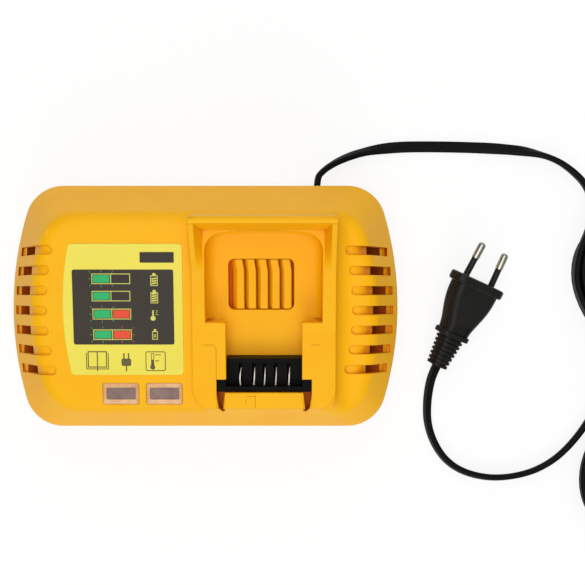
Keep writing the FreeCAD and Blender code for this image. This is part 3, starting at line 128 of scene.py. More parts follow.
def wornMetal(name, low, high, rough, scratch=0.25, depth=0.004):
    # Rolled, drawn or plated metal: bright, with fine handling marks and patches of duller skin. In mm.
    material, tree = newFinish(name)
    place = addNode(tree, "ShaderNodeTexCoord").outputs["Object"]
    marks = noise(tree, place, scratch, 4.0, 0.7)
    skin = noise(tree, place, 6.0, 3.0)
    colour = shadeRamp(tree, skin, low, high)
    gloss = addNode(tree, "ShaderNodeMapRange", {"To Min": rough - 0.06, "To Max": rough + 0.12},
                    {"Value": marks})
    bump = addNode(tree, "ShaderNodeBump", {"Strength": 0.5, "Distance": depth * mm}, {"Height": marks})
    shader = addNode(tree, "ShaderNodeBsdfPrincipled", {"Metallic": 1.0},
                     {"Base Color": colour, "Roughness": gloss.outputs[0], "Normal": bump.outputs[0]})
    closeFinish(tree, shader)
    return material


def tintedWindow(name, low, high, rough, clear):
    # Tinted acrylic: glossy, a little see-through, with the dim light pipe behind it.
    material, tree = newFinish(name)
    place = addNode(tree, "ShaderNodeTexCoord").outputs["Object"]
    colour = shadeRamp(tree, noise(tree, place, 3.5, 2.0), low, high)
    bump = addNode(tree, "ShaderNodeBump", {"Strength": 0.3, "Distance": 0.006 * mm},
                   {"Height": noise(tree, place, 0.5, 2.0)})
    shader = addNode(tree, "ShaderNodeBsdfPrincipled",
                     {"Roughness": rough, "IOR": 1.49, "Transmission Weight": clear, "Coat Weight": 0.4,
                      "Coat Roughness": 0.08}, {"Base Color": colour, "Normal": bump.outputs[0]})
    closeFinish(tree, shader)
    return material


def circuitBoard(name):
    # Glass epoxy under green resist: a matt green with paler copper runs, 5 mm apart, showing through.
    material, tree = newFinish(name)
    place = addNode(tree, "ShaderNodeTexCoord").outputs["Object"]
    runs = addNode(tree, "ShaderNodeTexVoronoi", {"feature": "DISTANCE_TO_EDGE", "distance": "CHEBYCHEV",
                                                  "Scale": 1000 / 5.0}, {"Vector": place})
    copper = addNode(tree, "ShaderNodeMapRange", {"From Min": 0.04, "From Max": 0.07},
                     {"Value": runs.outputs[0]})
    colour = addNode(tree, "ShaderNodeMix", {"data_type": "RGBA", 6: linear("3f7a3a"), 7: linear("1c4a22")},
                     {0: copper.outputs[0]})
    bump = addNode(tree, "ShaderNodeBump", {"Strength": 0.5, "Distance": 0.03 * mm, "invert": True},
                   {"Height": copper.outputs[0]})
    shader = addNode(tree, "ShaderNodeBsdfPrincipled", {"Roughness": 0.42, "IOR": 1.55},
                     {"Base Color": colour.outputs[2], "Normal": bump.outputs[0]})
    closeFinish(tree, shader)
    return material


# Moulded ABS, dyed through: warm yellow orange, satin, with painted shade darkening it in the hollows.
housingFinish = mouldedPlastic("mouldedAbs", "feb604", "ffbc07", 0.44, shine=0.16, grain=0.5, depth=0.010,
                               edge=0.8, hollowShade="d86400")
# The same plastic deep behind the vents and under the grille, painted darker: painted shade standing in for
# the shade and bounced light there.
paintedShadeFinish = mouldedPlastic("paintedShadeAbs", "bc5206", "c65a08", 0.5, shine=0.1, grain=0.5, depth=0.010)
# The same again where the mould's inserts met: a line of denser skin.
markFinish = mouldedPlastic("insertMark", "dc9206", "e09808", 0.44, shine=0.16, grain=0.5, depth=0.010)
# Printed polycarbonate film: lemon yellow under a fine satin texture.
filmFinish = mouldedPlastic("printedFilm", "efdf4a", "f4e552", 0.36, shine=0.3, ior=1.58, grain=0.35,
                            depth=0.006, patch=40)
# The film's dark field and its inks: screen printed, matt.
fieldInk = mouldedPlastic("darkInk", "383029", "3e362e", 0.45, shine=0.2, grain=0.4, depth=0.004)
greenInk = mouldedPlastic("greenInk", "2bb268", "30ba6e", 0.42, shine=0.2, grain=0.4, depth=0.004)
redInk = mouldedPlastic("redInk", "e84a2a", "ee5232", 0.42, shine=0.2, grain=0.4, depth=0.004)
paleInk = mouldedPlastic("paleInk", "dcd85c", "e2de66", 0.42, grain=0.4, depth=0.004)
lineInk = mouldedPlastic("brownInk", "554a20", "5c5026", 0.45, grain=0.4, depth=0.004)
# Windows: a tan frame of tinted acrylic, and the dark pane over its light pipe.
frameFinish = tintedWindow("tanAcrylic", "e2a468", "f0b878", 0.25, 0.1)
paneFinish = tintedWindow("smokedAcrylic", "84695f", "957a70", 0.18, 0.1)
# Glass filled nylon: near black, dry, with pale specks of fibre, and painted shade blackening its hollows.
nylonFinish = mouldedPlastic("filledNylon", "0a0808", "110f0e", 0.42, shine=0.05, ior=1.53, grain=0.35,
                             depth=0.016, hollowShade="010101")
# Soft PVC: black, waxy, with an extruded or a moulded skin.
cordFinish = mouldedPlastic("extrudedPvc", "080808", "0e0e0d", 0.36, shine=0.07, ior=1.53, grain=0.7,
                            depth=0.008)
plugFinish = mouldedPlastic("overmouldedPvc", "191817", "21201e", 0.38, shine=0.16, ior=1.53, grain=0.5,
                            depth=0.010)
rubberFinish = mouldedPlastic("mouldedRubber", "101010", "191918", 0.62, ior=1.52, grain=0.6, depth=0.02)
# Nickel on brass: bright, slightly warm.
pinFinish = wornMetal("nickelBrass", "a19f94", "bebcb0", 0.2)
# Tinned copper strip, rolled: soft grey shine.
bladeFinish = wornMetal("tinnedCopper", "9c978f", "bab5ac", 0.34)
# Inside: zinc plated screws, extruded sinks, the board and what stands on it.
screwFinish = wornMetal("zincSteel", "a3a5a5", "c2c4c2", 0.34)
sinkFinish = wornMetal("extrudedAluminium", "b4b7ba", "cdd0d2", 0.4)
boardFinish = circuitBoard("resistLaminate")
ferriteFinish = mouldedPlastic("sinteredFerrite", "2d2d31", "3a3a3e", 0.6, ior=2.2, grain=0.6, depth=0.03)
tapeFinish = mouldedPlastic("polyesterTape", "c99b1e", "dcae2c", 0.3, ior=1.6, grain=1.4, depth=0.03)
sleeveFinish = mouldedPlastic("shrinkSleeve", "10162e", "182042", 0.32, grain=1.0, depth=0.01)
filmCaseFinish = mouldedPlastic("pottedCase", "c48b1e", "d29a28", 0.4)
fuseFinish = mouldedPlastic("glazedCeramic", "cfcabd", "e0dcd0", 0.2, ior=1.5, grain=1.2, depth=0.008)
epoxyFinish = mouldedPlastic("mouldedEpoxy", "1a1a1c", "242426", 0.5)
relayFinish = mouldedPlastic("relayCase", "173a7c", "1f468e", 0.35)
fanFinish = mouldedPlastic("mouldedPbt", "121212", "1a1a1a", 0.45)
ledFinish = tintedWindow("clearEpoxy", "d8e0d4", "e6ece2", 0.1, 0.7)
wireFinish = mouldedPlastic("wireInsulation", "8c1f16", "a02a1e", 0.4, grain=1.2)

nodeFinishes = {
    "upper_housing": housingFinish, "lower_housing": housingFinish, "fan_grille": housingFinish,
    "status_label": filmFinish, "left_lens": paneFinish, "right_lens": paneFinish,
    "indicator_board": boardFinish, "indicator_leds": ledFinish, "contact_block": nylonFinish,
    "contact_blades": bladeFinish, "fan_frame": fanFinish, "fan_rotor": fanFinish, "fan_screws": screwFinish,
    "main_board": boardFinish, "board_screws": screwFinish, "transformer_core": ferriteFinish,
    "transformer_winding": tapeFinish, "bulk_capacitor": sleeveFinish, "output_capacitors": sleeveFinish,
    "line_choke": tapeFinish, "film_capacitor": filmCaseFinish, "line_fuse": fuseFinish,
    "bridge_rectifier": epoxyFinish, "line_heat_sink": sinkFinish, "output_heat_sink": sinkFinish,
    "power_transistors": epoxyFinish, "output_relay": relayFinish, "housing_screws": screwFinish,
    "rubber_feet": rubberFinish, "cord_grommet": cordFinish, "cord_clamp": nylonFinish,
    "clamp_screws": screwFinish, "mains_leads": wireFinish, "output_leads": wireFinish,
    "cord_lead": cordFinish, "cord_hank": cordFinish, "cord_tail": cordFinish, "cord_tie": rubberFinish,
    "plug_body": plugFinish, "plug_boot": plugFinish, "plug_pins": pinFinish, "pin_sleeves": plugFinish,
}
for nodeName, finish in nodeFinishes.items():
    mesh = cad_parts[nodeName].data
    mesh.materials.clear()
    mesh.materials.append(finish)
print("finishes made")


def addPiece(name, mesh, finish, smooth=True):
    # a new piece that moves with the charger
    mesh.validate()
    mesh.materials.append(finish)
    mesh.polygons.foreach_set("use_smooth", [smooth] * len(mesh.polygons))
    piece = bpy.data.objects.new(name, mesh)
    bpy.context.scene.collection.objects.link(piece)
    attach(piece, "charger")
    return piece


def joinRings(build, a, b):
    # a band of faces between two closed rings of as many points
    for i in range(len(a)):
        j = (i + 1) % len(a)
        build.faces.new((a[i], a[j], b[j], b[i]))


def meshOf(build, name):
    mesh = bpy.data.meshes.new(name)
    build.to_mesh(mesh)
    build.free()
    return mesh


# The label's print. Places are in mm on the deck: x across, s up the slope from the middle of the body.
deckPlane = {"height": 55.0, "slope": 8.5, "film": 0.4}


def onDeck(x, s, lift):
    # from the deck's own plane to the frame
    angle = math.radians(deckPlane["slope"])
    rise = deckPlane["film"] + lift
    return Vector((x, s * math.cos(angle) - rise * math.sin(angle),
                   deckPlane["height"] + s * math.sin(angle) + rise * math.cos(angle))) * mm


def printLayer(name, shapes, finish, low, high):
    # flat inked shapes, each with a real thickness
    build = bmesh.new()
    for points in shapes:
        area = sum(a[0] * b[1] - b[0] * a[1] for a, b in zip(points, points[1:] + points[:1]))
        ring = points if area > 0 else points[::-1]
        top = [build.verts.new(onDeck(x, s, high)) for x, s in ring]
        foot = [build.verts.new(onDeck(x, s, low)) for x, s in ring]
        build.faces.new(top)
        build.faces.new(foot[::-1])
        joinRings(build, foot, top)
    return addPiece(name, meshOf(build, name), finish, smooth=False)


def bar(x0, x1, s0, s1):
    return [(x0, s0), (x1, s0), (x1, s1), (x0, s1)]


def roundBar(x0, x1, s0, s1, radius, steps=5):
    points = []
    corners = [(x1 - radius, s1 - radius, 0), (x0 + radius, s1 - radius, 90),
               (x0 + radius, s0 + radius, 180), (x1 - radius, s0 + radius, 270)]
    for cx, cs, start in corners:
        for i in range(steps + 1):
            angle = math.radians(start + 90 * i / steps)
            points.append((cx + radius * math.cos(angle), cs + radius * math.sin(angle)))
    return points


def disc(x, s, radius, steps=16):
    angles = [2 * math.pi * i / steps for i in range(steps)]
    return [(x + radius * math.cos(angle), s + radius * math.sin(angle)) for angle in angles]


def stroke(a, b, width):
    # a straight inked line from a to b
    dx, ds = b[0] - a[0], b[1] - a[1]
    size = math.hypot(dx, ds)
    nx, ns = -ds / size * width / 2, dx / size * width / 2
    return [(a[0] - nx, a[1] - ns), (b[0] - nx, b[1] - ns), (b[0] + nx, b[1] + ns), (a[0] + nx, a[1] + ns)]


def hollowBox(x0, x1, s0, s1, width):
    return [bar(x0, x1, s1 - width, s1), bar(x0, x1, s0, s0 + width),
            bar(x0, x0 + width, s0 + width, s1 - width), bar(x1 - width, x1, s0 + width, s1 - width)]


# The dark field and plate, and the rows: left end, top, foot, colour of the second half, blinking halves.
panel = {"field": (-62.2, -12.75, -18.85, 18.35), "fieldRound": 1.0, "plate": (-29.0, -12.4, 21.7, 26.9),
         "plateRound": 0.3}
row = {"places": ((-52.7, 16.4, 11.2, "dark", "left"), (-52.8, 7.85, 2.7, "dark", ""),
                  (-52.6, -0.95, -6.3, "red", "left"), (-52.5, -11.3, -16.5, "red", "both")),
       "length": 18.9, "line": 0.42, "inset": 0.72, "overlap": 0.1,
       "tick": 1.1, "tickGap": 0.5, "tickWidth": 0.28, "cornerShare": 0.7}


def blinkTicks(x0, x1, foot, top, side, corners):
    # ticks round a blinking half: off these corners, over and under its middle, and beside its outer end
    near = row["tickGap"]
    far = near + row["tick"]
    ticks = []
    for x, lean in ((x0, -1), ((x0 + x1) / 2, 0), (x1, 1)):
        if lean and lean not in corners:
            continue
        share = row["cornerShare"] if lean else 1.0
        for s, way in ((top, 1), (foot, -1)):
            ends = [(x + lean * reach * share, s + way * reach * share) for reach in (near, far)]
            ticks.append(stroke(*ends, row["tickWidth"]))
    edge = x0 if side < 0 else x1
    level = (top + foot) / 2
    ticks.append(stroke((edge + side * near, level), (edge + side * far, level), row["tickWidth"]))
    return ticks


def statusRows():
    # four rows of lamps: outline, green half, dark or red half, and ticks round a blinking half
    greens, reds, pales = [], [], []
    line, inset, overlap = row["line"], row["inset"], row["overlap"]
    for left, top, foot, second, blink in row["places"]:
        middle, right = left + row["length"] / 2, left + row["length"]
        pales += hollowBox(left, right, foot, top, line)
        pales.append(bar(middle - line / 2, middle + line / 2, foot + line, top - line))
        greens.append(bar(left + inset, middle - inset + overlap, foot + inset, top - inset))
        if second == "red":
            reds.append(bar(middle + inset - overlap, right - inset, foot + inset, top - inset))
        if blink:
            greens += blinkTicks(left, middle, foot, top, -1, (-1, 1) if blink == "left" else (-1,))
        if blink == "both":
            reds += blinkTicks(middle, right, foot, top, 1, (1,))
    return greens, reds, pales


# The icons beside the rows. A cell is its top, foot, half width and bars of charge.
icon = {"x": -22.2, "line": 0.4, "charging": (16.6, 10.3, 1.85, 3), "full": (8.3, 1.7, 1.85, 4),
        "bad": (-11.1, -16.4, 1.4, 0), "cross": (0.65, -15.3, -13.6),
        "bulb": (-0.8, -5.7, 1.25), "stem": (-1.2, -0.4, -4.7, -1.7),
        "degrees": ((-2.2, 1.7), (-3.1, 1.3), (-4.0, 1.7)), "degreeFrom": 0.5, "degreeLine": 0.28}
cell = {"cap": 1.1, "capShare": 0.42, "barShare": 0.68, "firstBar": 0.75, "barPitch": 1.15,
        "barHeight": 0.75, "slant": 0.35}


def batteryIcon(x, top, foot, half, fill):
    # an upright cell with its cap, and slanting bars of charge
    shapes = hollowBox(x - half, x + half, foot, top - cell["cap"], icon["line"])
    shapes.append(bar(x - half * cell["capShare"], x + half * cell["capShare"], top - cell["cap"], top))
    reach = half * cell["barShare"]
    for i in range(fill):
        s = foot + cell["firstBar"] + i * cell["barPitch"]
        top = s + cell["barHeight"]
        shapes.append([(x - reach, s), (x + reach, s + cell["slant"]), (x + reach, top + cell["slant"]),
                       (x - reach, top)])
    return shapes


def panelIcons():
    # what each row stands for: charging, full, too hot or cold, a bad pack
    x = icon["x"]
    shapes = batteryIcon(x, *icon["charging"]) + batteryIcon(x, *icon["full"])
    bulbX, bulbS, bulbRadius = icon["bulb"]
    left, right, low, high = icon["stem"]
    shapes += [disc(x + bulbX, bulbS, bulbRadius), bar(x + left, x + right, low, high)]
    start = x + icon["degreeFrom"]
    shapes += [bar(start, x + width, s, s + icon["degreeLine"]) for s, width in icon["degrees"]]
    shapes += batteryIcon(x, *icon["bad"])
    reach, low, high = icon["cross"]
    shapes += [stroke((x - reach, low), (x + reach, high), icon["line"]),
               stroke((x - reach, high), (x + reach, low), icon["line"])]
    return shapes


# Three line signs under the field: an open booklet, a plug, and a thermometer in a frame.
booklet = {"pages": (-55.6, -46.1, -30.4, -22.2), "line": 0.5,
           "cover": ((-56.4, -56.0, -31.0, -23.0), (-45.7, -45.3, -31.0, -23.0),
                     (-56.4, -45.3, -31.3, -30.9)),
           "spine": (-51.1, -50.6, -32.2, -22.2)}
plugSign = {"body": (-39.0, -34.2, -29.6, -25.9), "round": 0.9,
            "bars": ((-38.1, -37.4, -25.9, -23.2), (-35.8, -35.1, -25.9, -23.2),
                     (-36.9, -36.3, -32.2, -29.6))}
heatSign = {"frame": (-27.1, -17.2, -32.1, -22.3), "round": 0.9, "line": 0.4, "innerRound": 0.6,
            "tube": (-24.4, -22.9, -29.6, -23.2), "tubeLine": 0.3, "fluid": (-24.1, -23.2, -29.6, -26.4),
            "bulb": (-23.65, -30.2, 1.25),
            "marks": ((-22.3, -19.6, -24.2, -23.8), (-22.3, -20.6, -27.2, -26.8))}


def lowerSigns():
    shapes = hollowBox(*booklet["pages"], booklet["line"])
    shapes += [bar(*place) for place in booklet["cover"]]
    shapes.append(bar(*booklet["spine"]))
    shapes.append(roundBar(*plugSign["body"], plugSign["round"]))
    shapes += [bar(*place) for place in plugSign["bars"]]
    x0, x1, s0, s1 = heatSign["frame"]
    line = heatSign["line"]
    outer = roundBar(x0, x1, s0, s1, heatSign["round"])
    inner = roundBar(x0 + line, x1 - line, s0 + line, s1 - line, heatSign["innerRound"])
    for i in range(len(outer)):
        j = (i + 1) % len(outer)
        shapes.append([outer[i], outer[j], inner[j], inner[i]])
    shapes += hollowBox(*heatSign["tube"], heatSign["tubeLine"])
    shapes += [bar(*heatSign["fluid"]), disc(*heatSign["bulb"])]
    shapes += [bar(*place) for place in heatSign["marks"]]
    return shapes


# Low and high face of an ink over the film, in mm: the second layer lies on the first.
inkHeights = {"first": (0.0, 0.05), "second": (0.04, 0.09)}
greenShapes, redShapes, paleShapes = statusRows()
fieldShapes = [roundBar(*panel["field"], panel["fieldRound"]),
               roundBar(*panel["plate"], panel["plateRound"])]
printLayer("labelField", fieldShapes, fieldInk, *inkHeights["first"])
printLayer("labelSigns", lowerSigns(), lineInk, *inkHeights["first"])
printLayer("labelGreen", greenShapes, greenInk, *inkHeights["second"])
printLayer("labelRed", redShapes, redInk, *inkHeights["second"])
printLayer("labelOutlines", paleShapes + panelIcons(), paleInk, *inkHeights["second"])
print("label printed")

# Frames of the two windows: a tan lip set in each pocket, sloping in to the dark pane.
window = {"centres": (-39.7, -18.2), "middle": -43.3 / math.cos(math.radians(deckPlane["slope"])),
          "outer": (17.7, 10.5), "outerRound": 1.1, "inner": (14.5, 6.1), "innerRound": 0.7,
          "foot": -1.4, "lip": -0.12, "sill": -0.45}


def windowFrame(name, centre):
    build = bmesh.new()
    rings = []
    for wall, lift in (("outer", "foot"), ("outer", "lip"), ("inner", "sill"), ("inner", "foot")):
        width, length = window[wall]
        ring = roundBar(centre - width / 2, centre + width / 2, window["middle"] - length / 2,
                        window["middle"] + length / 2, window[wall + "Round"])
        rings.append([build.verts.new(onDeck(x, s, window[lift] - deckPlane["film"])) for x, s in ring])
    for a, b in zip(rings, rings[1:] + rings[:1]):
        joinRings(build, a, b)
    return addPiece(name, meshOf(build, name), frameFinish, smooth=False)


for name, centre in zip(("leftFrame", "rightFrame"), window["centres"]):
    windowFrame(name, centre)
print("windows framed")

# The dock's own slope: u across from its middle, v up the slope, w square to it from the rails' top.
dock = {"across": 31.3, "height": 57.528}


def inDock(u, v, w):
    angle = math.radians(deckPlane["slope"])
    return Vector((dock["across"] + u, v * math.cos(angle) - w * math.sin(angle),
                   dock["height"] + v * math.sin(angle) + w * math.cos(angle))) * mm


def slabs(name, solids, finish):
    # eight-cornered blocks, each given as four foot corners and four top corners in the same order
    build = bmesh.new()
    for corners in solids:
        points = [build.verts.new(corner) for corner in corners]
        for face in ((3, 2, 1, 0), (4, 5, 6, 7), (0, 1, 5, 4), (1, 2, 6, 5), (2, 3, 7, 6), (3, 0, 4, 7)):
            build.faces.new([points[i] for i in face])
    bmesh.ops.recalc_face_normals(build, faces=build.faces)
    return addPiece(name, meshOf(build, name), finish, smooth=False)


def dockBlock(u0, u1, v0, v1, w0, w1):
    return [inDock(u, v, w) for w in (w0, w1) for u, v in ((u0, v0), (u1, v0), (u1, v1), (u0, v1))]


# Strips under the grille's two ends, too fine for the CAD, that close the view past its outer slats. They
# wear the darker painted-shade finish, dark as the shade there.
lip = {"u": -1.6, "v": 9.0, "half": 16.35, "reach": 12.7, "strips": ((0.0, 1.75), (28.95, 32.7)),
       "low": -18.1, "thick": 0.6}


def lipForms():
    left = lip["u"] - lip["half"]
    return [dockBlock(left + a, left + b, lip["v"] - lip["reach"], lip["v"] + lip["reach"], lip["low"],
                      lip["low"] + lip["thick"]) for a, b in lip["strips"]]


# Cheeks that narrow the dock's two latch slots towards the nose. Each stands on a slot's wall and leans in.
# A station is its place up the slope, the top there, and the share of the lean.
cheek = {"walls": ((19.4, 1.1), (23.5, -1.3)), "foot": -9.9, "root": 0.01,
         "stations": ((-44.0, -0.1, 0.0), (-50.9, -0.1, 0.72), (-53.7, -6.3, 1.0))}


def cheekForms():
    solids = []
    stations = cheek["stations"]
    for side in (-1, 1):
        for edge, lean in cheek["walls"]:
            for (near, nearTop, nearShare), (far, farTop, farShare) in zip(stations, stations[1:]):
                nearFace = edge + lean * (nearShare + cheek["root"])
                farFace = edge + lean * farShare
                plan = [(side * edge, near), (side * nearFace, near), (side * farFace, far),
                        (side * edge, far)]
                tops = (nearTop, nearTop, farTop, farTop)
                solids.append([inDock(u, v, cheek["foot"]) for u, v in plan] +
                              [inDock(u, v, w) for (u, v), w in zip(plan, tops)])
    return solids


# Fine lines that the mould's inserts left on the dock: left, right, front, rear.
mark = {"sink": 0.1, "rise": 0.04,
        "lines": ((-29.8, -24.3, -19.15, -18.9), (-24.3, -23.6, -20.2, -19.95),
                  (-23.6, -23.35, -36.0, -20.2), (23.1, 27.5, -19.15, -18.9), (-8.6, -4.2, -45.0, -44.7),
                  (-4.5, -4.2, -50.6, -45.0), (-9.2, -8.9, -48.2, -46.4))}


def markForms():
    return [dockBlock(*line, -mark["sink"], mark["rise"]) for line in mark["lines"]]


# Each blade is a leaf that thins and bows towards its free end.
leaf = {"places": (-11.8, -5.2, 0.0, 5.6, 12.2), "bows": (-0.75, 0.35, 0.35, 0.3, 0.1), "front": -40.2,
        "length": 8.6, "thick": 0.62, "tip": 0.22, "low": -11.6, "top": -4.4, "steps": 8, "drift": 0.45,
        "droop": 2.2}


def leafStation(u, bow, share):
    # left and right face, place up the slope and top, at a share of the leaf's length
    half = (leaf["thick"] + (leaf["tip"] - leaf["thick"]) * share ** 3) / 2
    middle = u + 2 * bow * share * (1 - share) + leaf["drift"] * share * share
    return (middle - half, middle + half, leaf["front"] + leaf["length"] * share,
            leaf["top"] - leaf["droop"] * share ** 4)


def leafForms():
    solids = []
    for u, bow in zip(leaf["places"], leaf["bows"]):
        stations = [leafStation(u, bow, i / leaf["steps"]) for i in range(leaf["steps"] + 1)]
        for (a0, a1, va, wa), (b0, b1, vb, wb) in zip(stations, stations[1:]):
            tops = [(a0, va, wa), (a1, va, wa), (b1, vb, wb), (b0, vb, wb)]
            solids.append([inDock(x, v, leaf["low"]) for x, v, w in tops] + [inDock(*top) for top in tops])
    return solids


# The black contact carrier: a floor, a rear wall, ribs between the blades, and the wider bar in front with
# its two shoulders.
carrier = {"floor": (-14.0, -11.6), "rear": -27.0, "wall": -29.4, "shoulder": -36.6, "back": -40.4,
           "front": -43.0, "half": 18.9, "wide": 23.3, "ribTop": -6.4, "wallTop": -5.6, "barTop": -1.8,
           "slot": 0.85}


def carrierForms():
    low, floorTop = carrier["floor"]
    half, wide, back = carrier["half"], carrier["wide"], carrier["back"]
    edges = [-half] + [u + s * carrier["slot"] for u in leaf["places"] for s in (-1, 1)] + [half]
    blocks = [
        (-half, half, back, carrier["rear"], low, floorTop),
        (-half, half, carrier["wall"], carrier["rear"], floorTop, carrier["wallTop"]),
        (-wide, wide, carrier["front"], back, low, carrier["barTop"]),
        (-wide, -half, back, carrier["shoulder"], low, carrier["barTop"]),
        (half, wide, back, carrier["shoulder"], low, carrier["barTop"]),
    ]
    blocks += [(a, b, back, carrier["wall"], floorTop, carrier["ribTop"])
               for a, b in zip(edges[::2], edges[1::2])]
    return [dockBlock(*sizes) for sizes in blocks]


# Ramps behind the side vents, in the darker painted-shade finish that stands in for the shade inside the
# vents. Each side has the height of a ramp's outer and inner end.
ramp = {"count": 7, "pitch": 9.9, "centre": -2.0, "width": 5.2, "outer": 93.7, "inner": 84.6, "arc": 3.6,
        "thick": 1.2, "heights": {-1: (31.2, 24.6), 1: (27.6, 24.2)}}


def rampForms():
    solids = []
    last = (ramp["count"] - 1) / 2
    half = ramp["width"] / 2
    for side, (high, low) in ramp["heights"].items():
        for i in range(ramp["count"]):
            y = ramp["centre"] + (i - last) * ramp["pitch"]
            back = ramp["arc"] * ((i - last) / last) ** 2
            outer, inner = side * (ramp["outer"] - back), side * (ramp["inner"] - back)
            tops = ((outer, y - half, high), (inner, y - half, low), (inner, y + half, low),
                    (outer, y + half, high))
            solids.append([Vector((x, v, z - drop)) * mm for drop in (ramp["thick"], 0.0)
                           for x, v, z in tops])
    return solids


slabs("grilleLips", lipForms(), paintedShadeFinish)
slabs("slotCheeks", cheekForms(), housingFinish)
slabs("insertMarks", markForms(), markFinish)
contactCarrier = slabs("contactCarrier", carrierForms(), nylonFinish)
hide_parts("contact_block")
contactLeaves = slabs("contactLeaves", leafForms(), bladeFinish)
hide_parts("contact_blades")
slabs("ventRamps", rampForms(), paintedShadeFinish)
print("trim made")

# The cord: flat, two core. Places are in mm, from its clamp to its plug.
cordShape = {"width": 6.0, "thick": 3.4, "around": 20, "endSquare": 0.72, "faceSquare": 0.62, "dip": 0.16,
             "dipWidth": 0.8, "exit": (57.6, 62.2, 12.0)}
leadPoints = [
    (57.6, 34.0, 12.0), (57.6, 66.0, 12.0), (61.0, 71.5, 9.5), (70.5, 78.0, 5.4), (84.0, 83.0, 3.2),
    (101.0, 85.4, 2.1), (120.0, 85.6, 2.0), (140.0, 85.2, 2.1), (158.0, 84.3, 2.9), (174.0, 82.6, 3.3),
    (187.5, 78.6, 3.2), (197.0, 71.8, 3.2), (204.0, 64.0, 3.6), (205.67, 55.2, 6.4), (205.17, 44.8, 9.4),
]
tailPoints = [
    (209.1, -53.5, 4.3), (205.4, -60.8, 3.5), (200.0, -69.0, 3.2), (192.5, -77.8, 3.2), (183.5, -85.2, 3.2),
    (171.5, -90.8, 3.2), (155.0, -93.4, 3.2), (140.0, -91.0, 3.2), (129.0, -85.0, 3.2), (121.8, -75.3, 3.2),
    (117.9, -64.0, 3.2), (117.6, -53.0, 3.6), (118.6, -43.0, 5.6), (120.5, -35.4, 7.9), (125.2, -25.7, 9.1),
]
# The hank's two lobes and its waist. A step is how much each further turn lies outside the one before.
hank = {"x": 225.0, "upper": 19.0, "waist": -40.0, "lower": -95.0, "turns": 3, "pointsPerTurn": 16,
        "lobe": 22.6, "lobeStep": 3.6, "waistHalf": 3.4, "waistStep": 3.6, "layer": 6.3, "lowerShift": 2.5,
        "lobeEnd": 14.0, "waistEnd": 16.0, "lift": 1.3, "leaving": 12.5, "leavingTurn": 0.125}


def smoothStep(share):
    return share * share * (3 - 2 * share)


def hankPoint(step):
    # a control point, from the waist's left side and clockwise: four lie round each lobe, on an octagon
    turn = (step + 0.5) / hank["pointsPerTurn"]
    index = abs(hank["turns"] / 2 - turn)
    lobe = hank["lobe"] + hank["lobeStep"] * index
    waist = hank["waistHalf"] + hank["waistStep"] * index
    climb = smoothStep(min(max((turn - hank["turns"] / 2) / 0.5 + 0.5, 0.0), 1.0))
    height = cordShape["width"] / 2 + hank["layer"] * climb
    place = step % hank["pointsPerTurn"]
    if 2 <= place <= 5 or 10 <= place <= 13:
        upper = place <= 5
        angle = math.radians((157.5 if upper else 337.5) - 45 * (place - (2 if upper else 10)))
        reach = lobe / math.cos(math.radians(22.5))
        x, y = reach * math.cos(angle), reach * math.sin(angle)
        centre = hank["x"] if upper else hank["x"] + hank["lowerShift"]
        return (centre + x, (hank["upper"] if upper else hank["lower"]) + y, height)
    side = -1 if place in (0, 1, 14, 15) else 1
    if place in (1, 6):
        return (hank["x"] + side * lobe, hank["upper"] - hank["lobeEnd"], height)
    if place in (9, 14):
        return (hank["x"] + hank["lowerShift"] + side * lobe, hank["lower"] + hank["lobeEnd"], height)
    up = 1 if place in (0, 7) else -1
    return (hank["x"] + side * waist, hank["waist"] + up * hank["waistEnd"], height + hank["lift"])


def cordPath():
    # the cord's own line, as a smooth spline
    turns = hank["turns"]
    lobe = hank["lobe"] + hank["lobeStep"] * (turns / 2 + hank["leavingTurn"])
    leaving = (hank["x"] - lobe, hank["upper"] + lobe * math.tan(math.radians(hank["leaving"])),
               cordShape["width"] / 2 + hank["layer"])
    wound = [hankPoint(step) for step in range(turns * hank["pointsPerTurn"] + 2)]
    points = leadPoints + [leaving] + wound[::-1] + tailPoints
    curve = bpy.data.curves.new("cordLine", "CURVE")
    curve.dimensions = "3D"
    curve.resolution_u = 6
    spline = curve.splines.new("NURBS")
    spline.points.add(len(points) - 1)
    for point, place in zip(spline.points, points):
        point.co = (*[c * mm for c in place], 1.0)
    spline.order_u = 3
    spline.use_endpoint_u = True
    lineObject = bpy.data.objects.new("cordLine", curve)
    line = bpy.data.meshes.new_from_object(lineObject)
    path = [v.co.copy() for v in line.vertices]
    bpy.data.objects.remove(lineObject)
    bpy.data.meshes.remove(line)
    return path


# How far the flat cord is rolled onto its edge, by distance along it in mm: 0 lies flat, 90 stands.
rollStops = [(0, 90), (35, 84), (62, 58), (84, 8), (92, 0), (126, 0), (145, 30), (165, 78), (185, 90),
             (1500, 90), (1560, 80), (1640, 75), (1675, 66), (1700, 50), (1900, 50)]


def rollAt(distance):
    for (a, low), (b, high) in zip(rollStops, rollStops[1:]):
        if distance <= b:
            return math.radians(low + (high - low) * smoothStep((distance - a) / (b - a)))
    return math.radians(rollStops[-1][1])


def flatSection():
    # a squarish oval with a shallow dip along the middle of each wide side
    half, thick = cordShape["width"] / 2, cordShape["thick"] / 2
    points = []
    for i in range(cordShape["around"]):
        angle = 2 * math.pi * i / cordShape["around"]
        c, s = math.cos(angle), math.sin(angle)
        x = half * math.copysign(abs(c) ** cordShape["endSquare"], c)
        y = thick * math.copysign(abs(s) ** cordShape["faceSquare"], s)
        y *= 1 - cordShape["dip"] * math.exp(-(x / cordShape["dipWidth"]) ** 2)
        points.append((x, y))
    return points


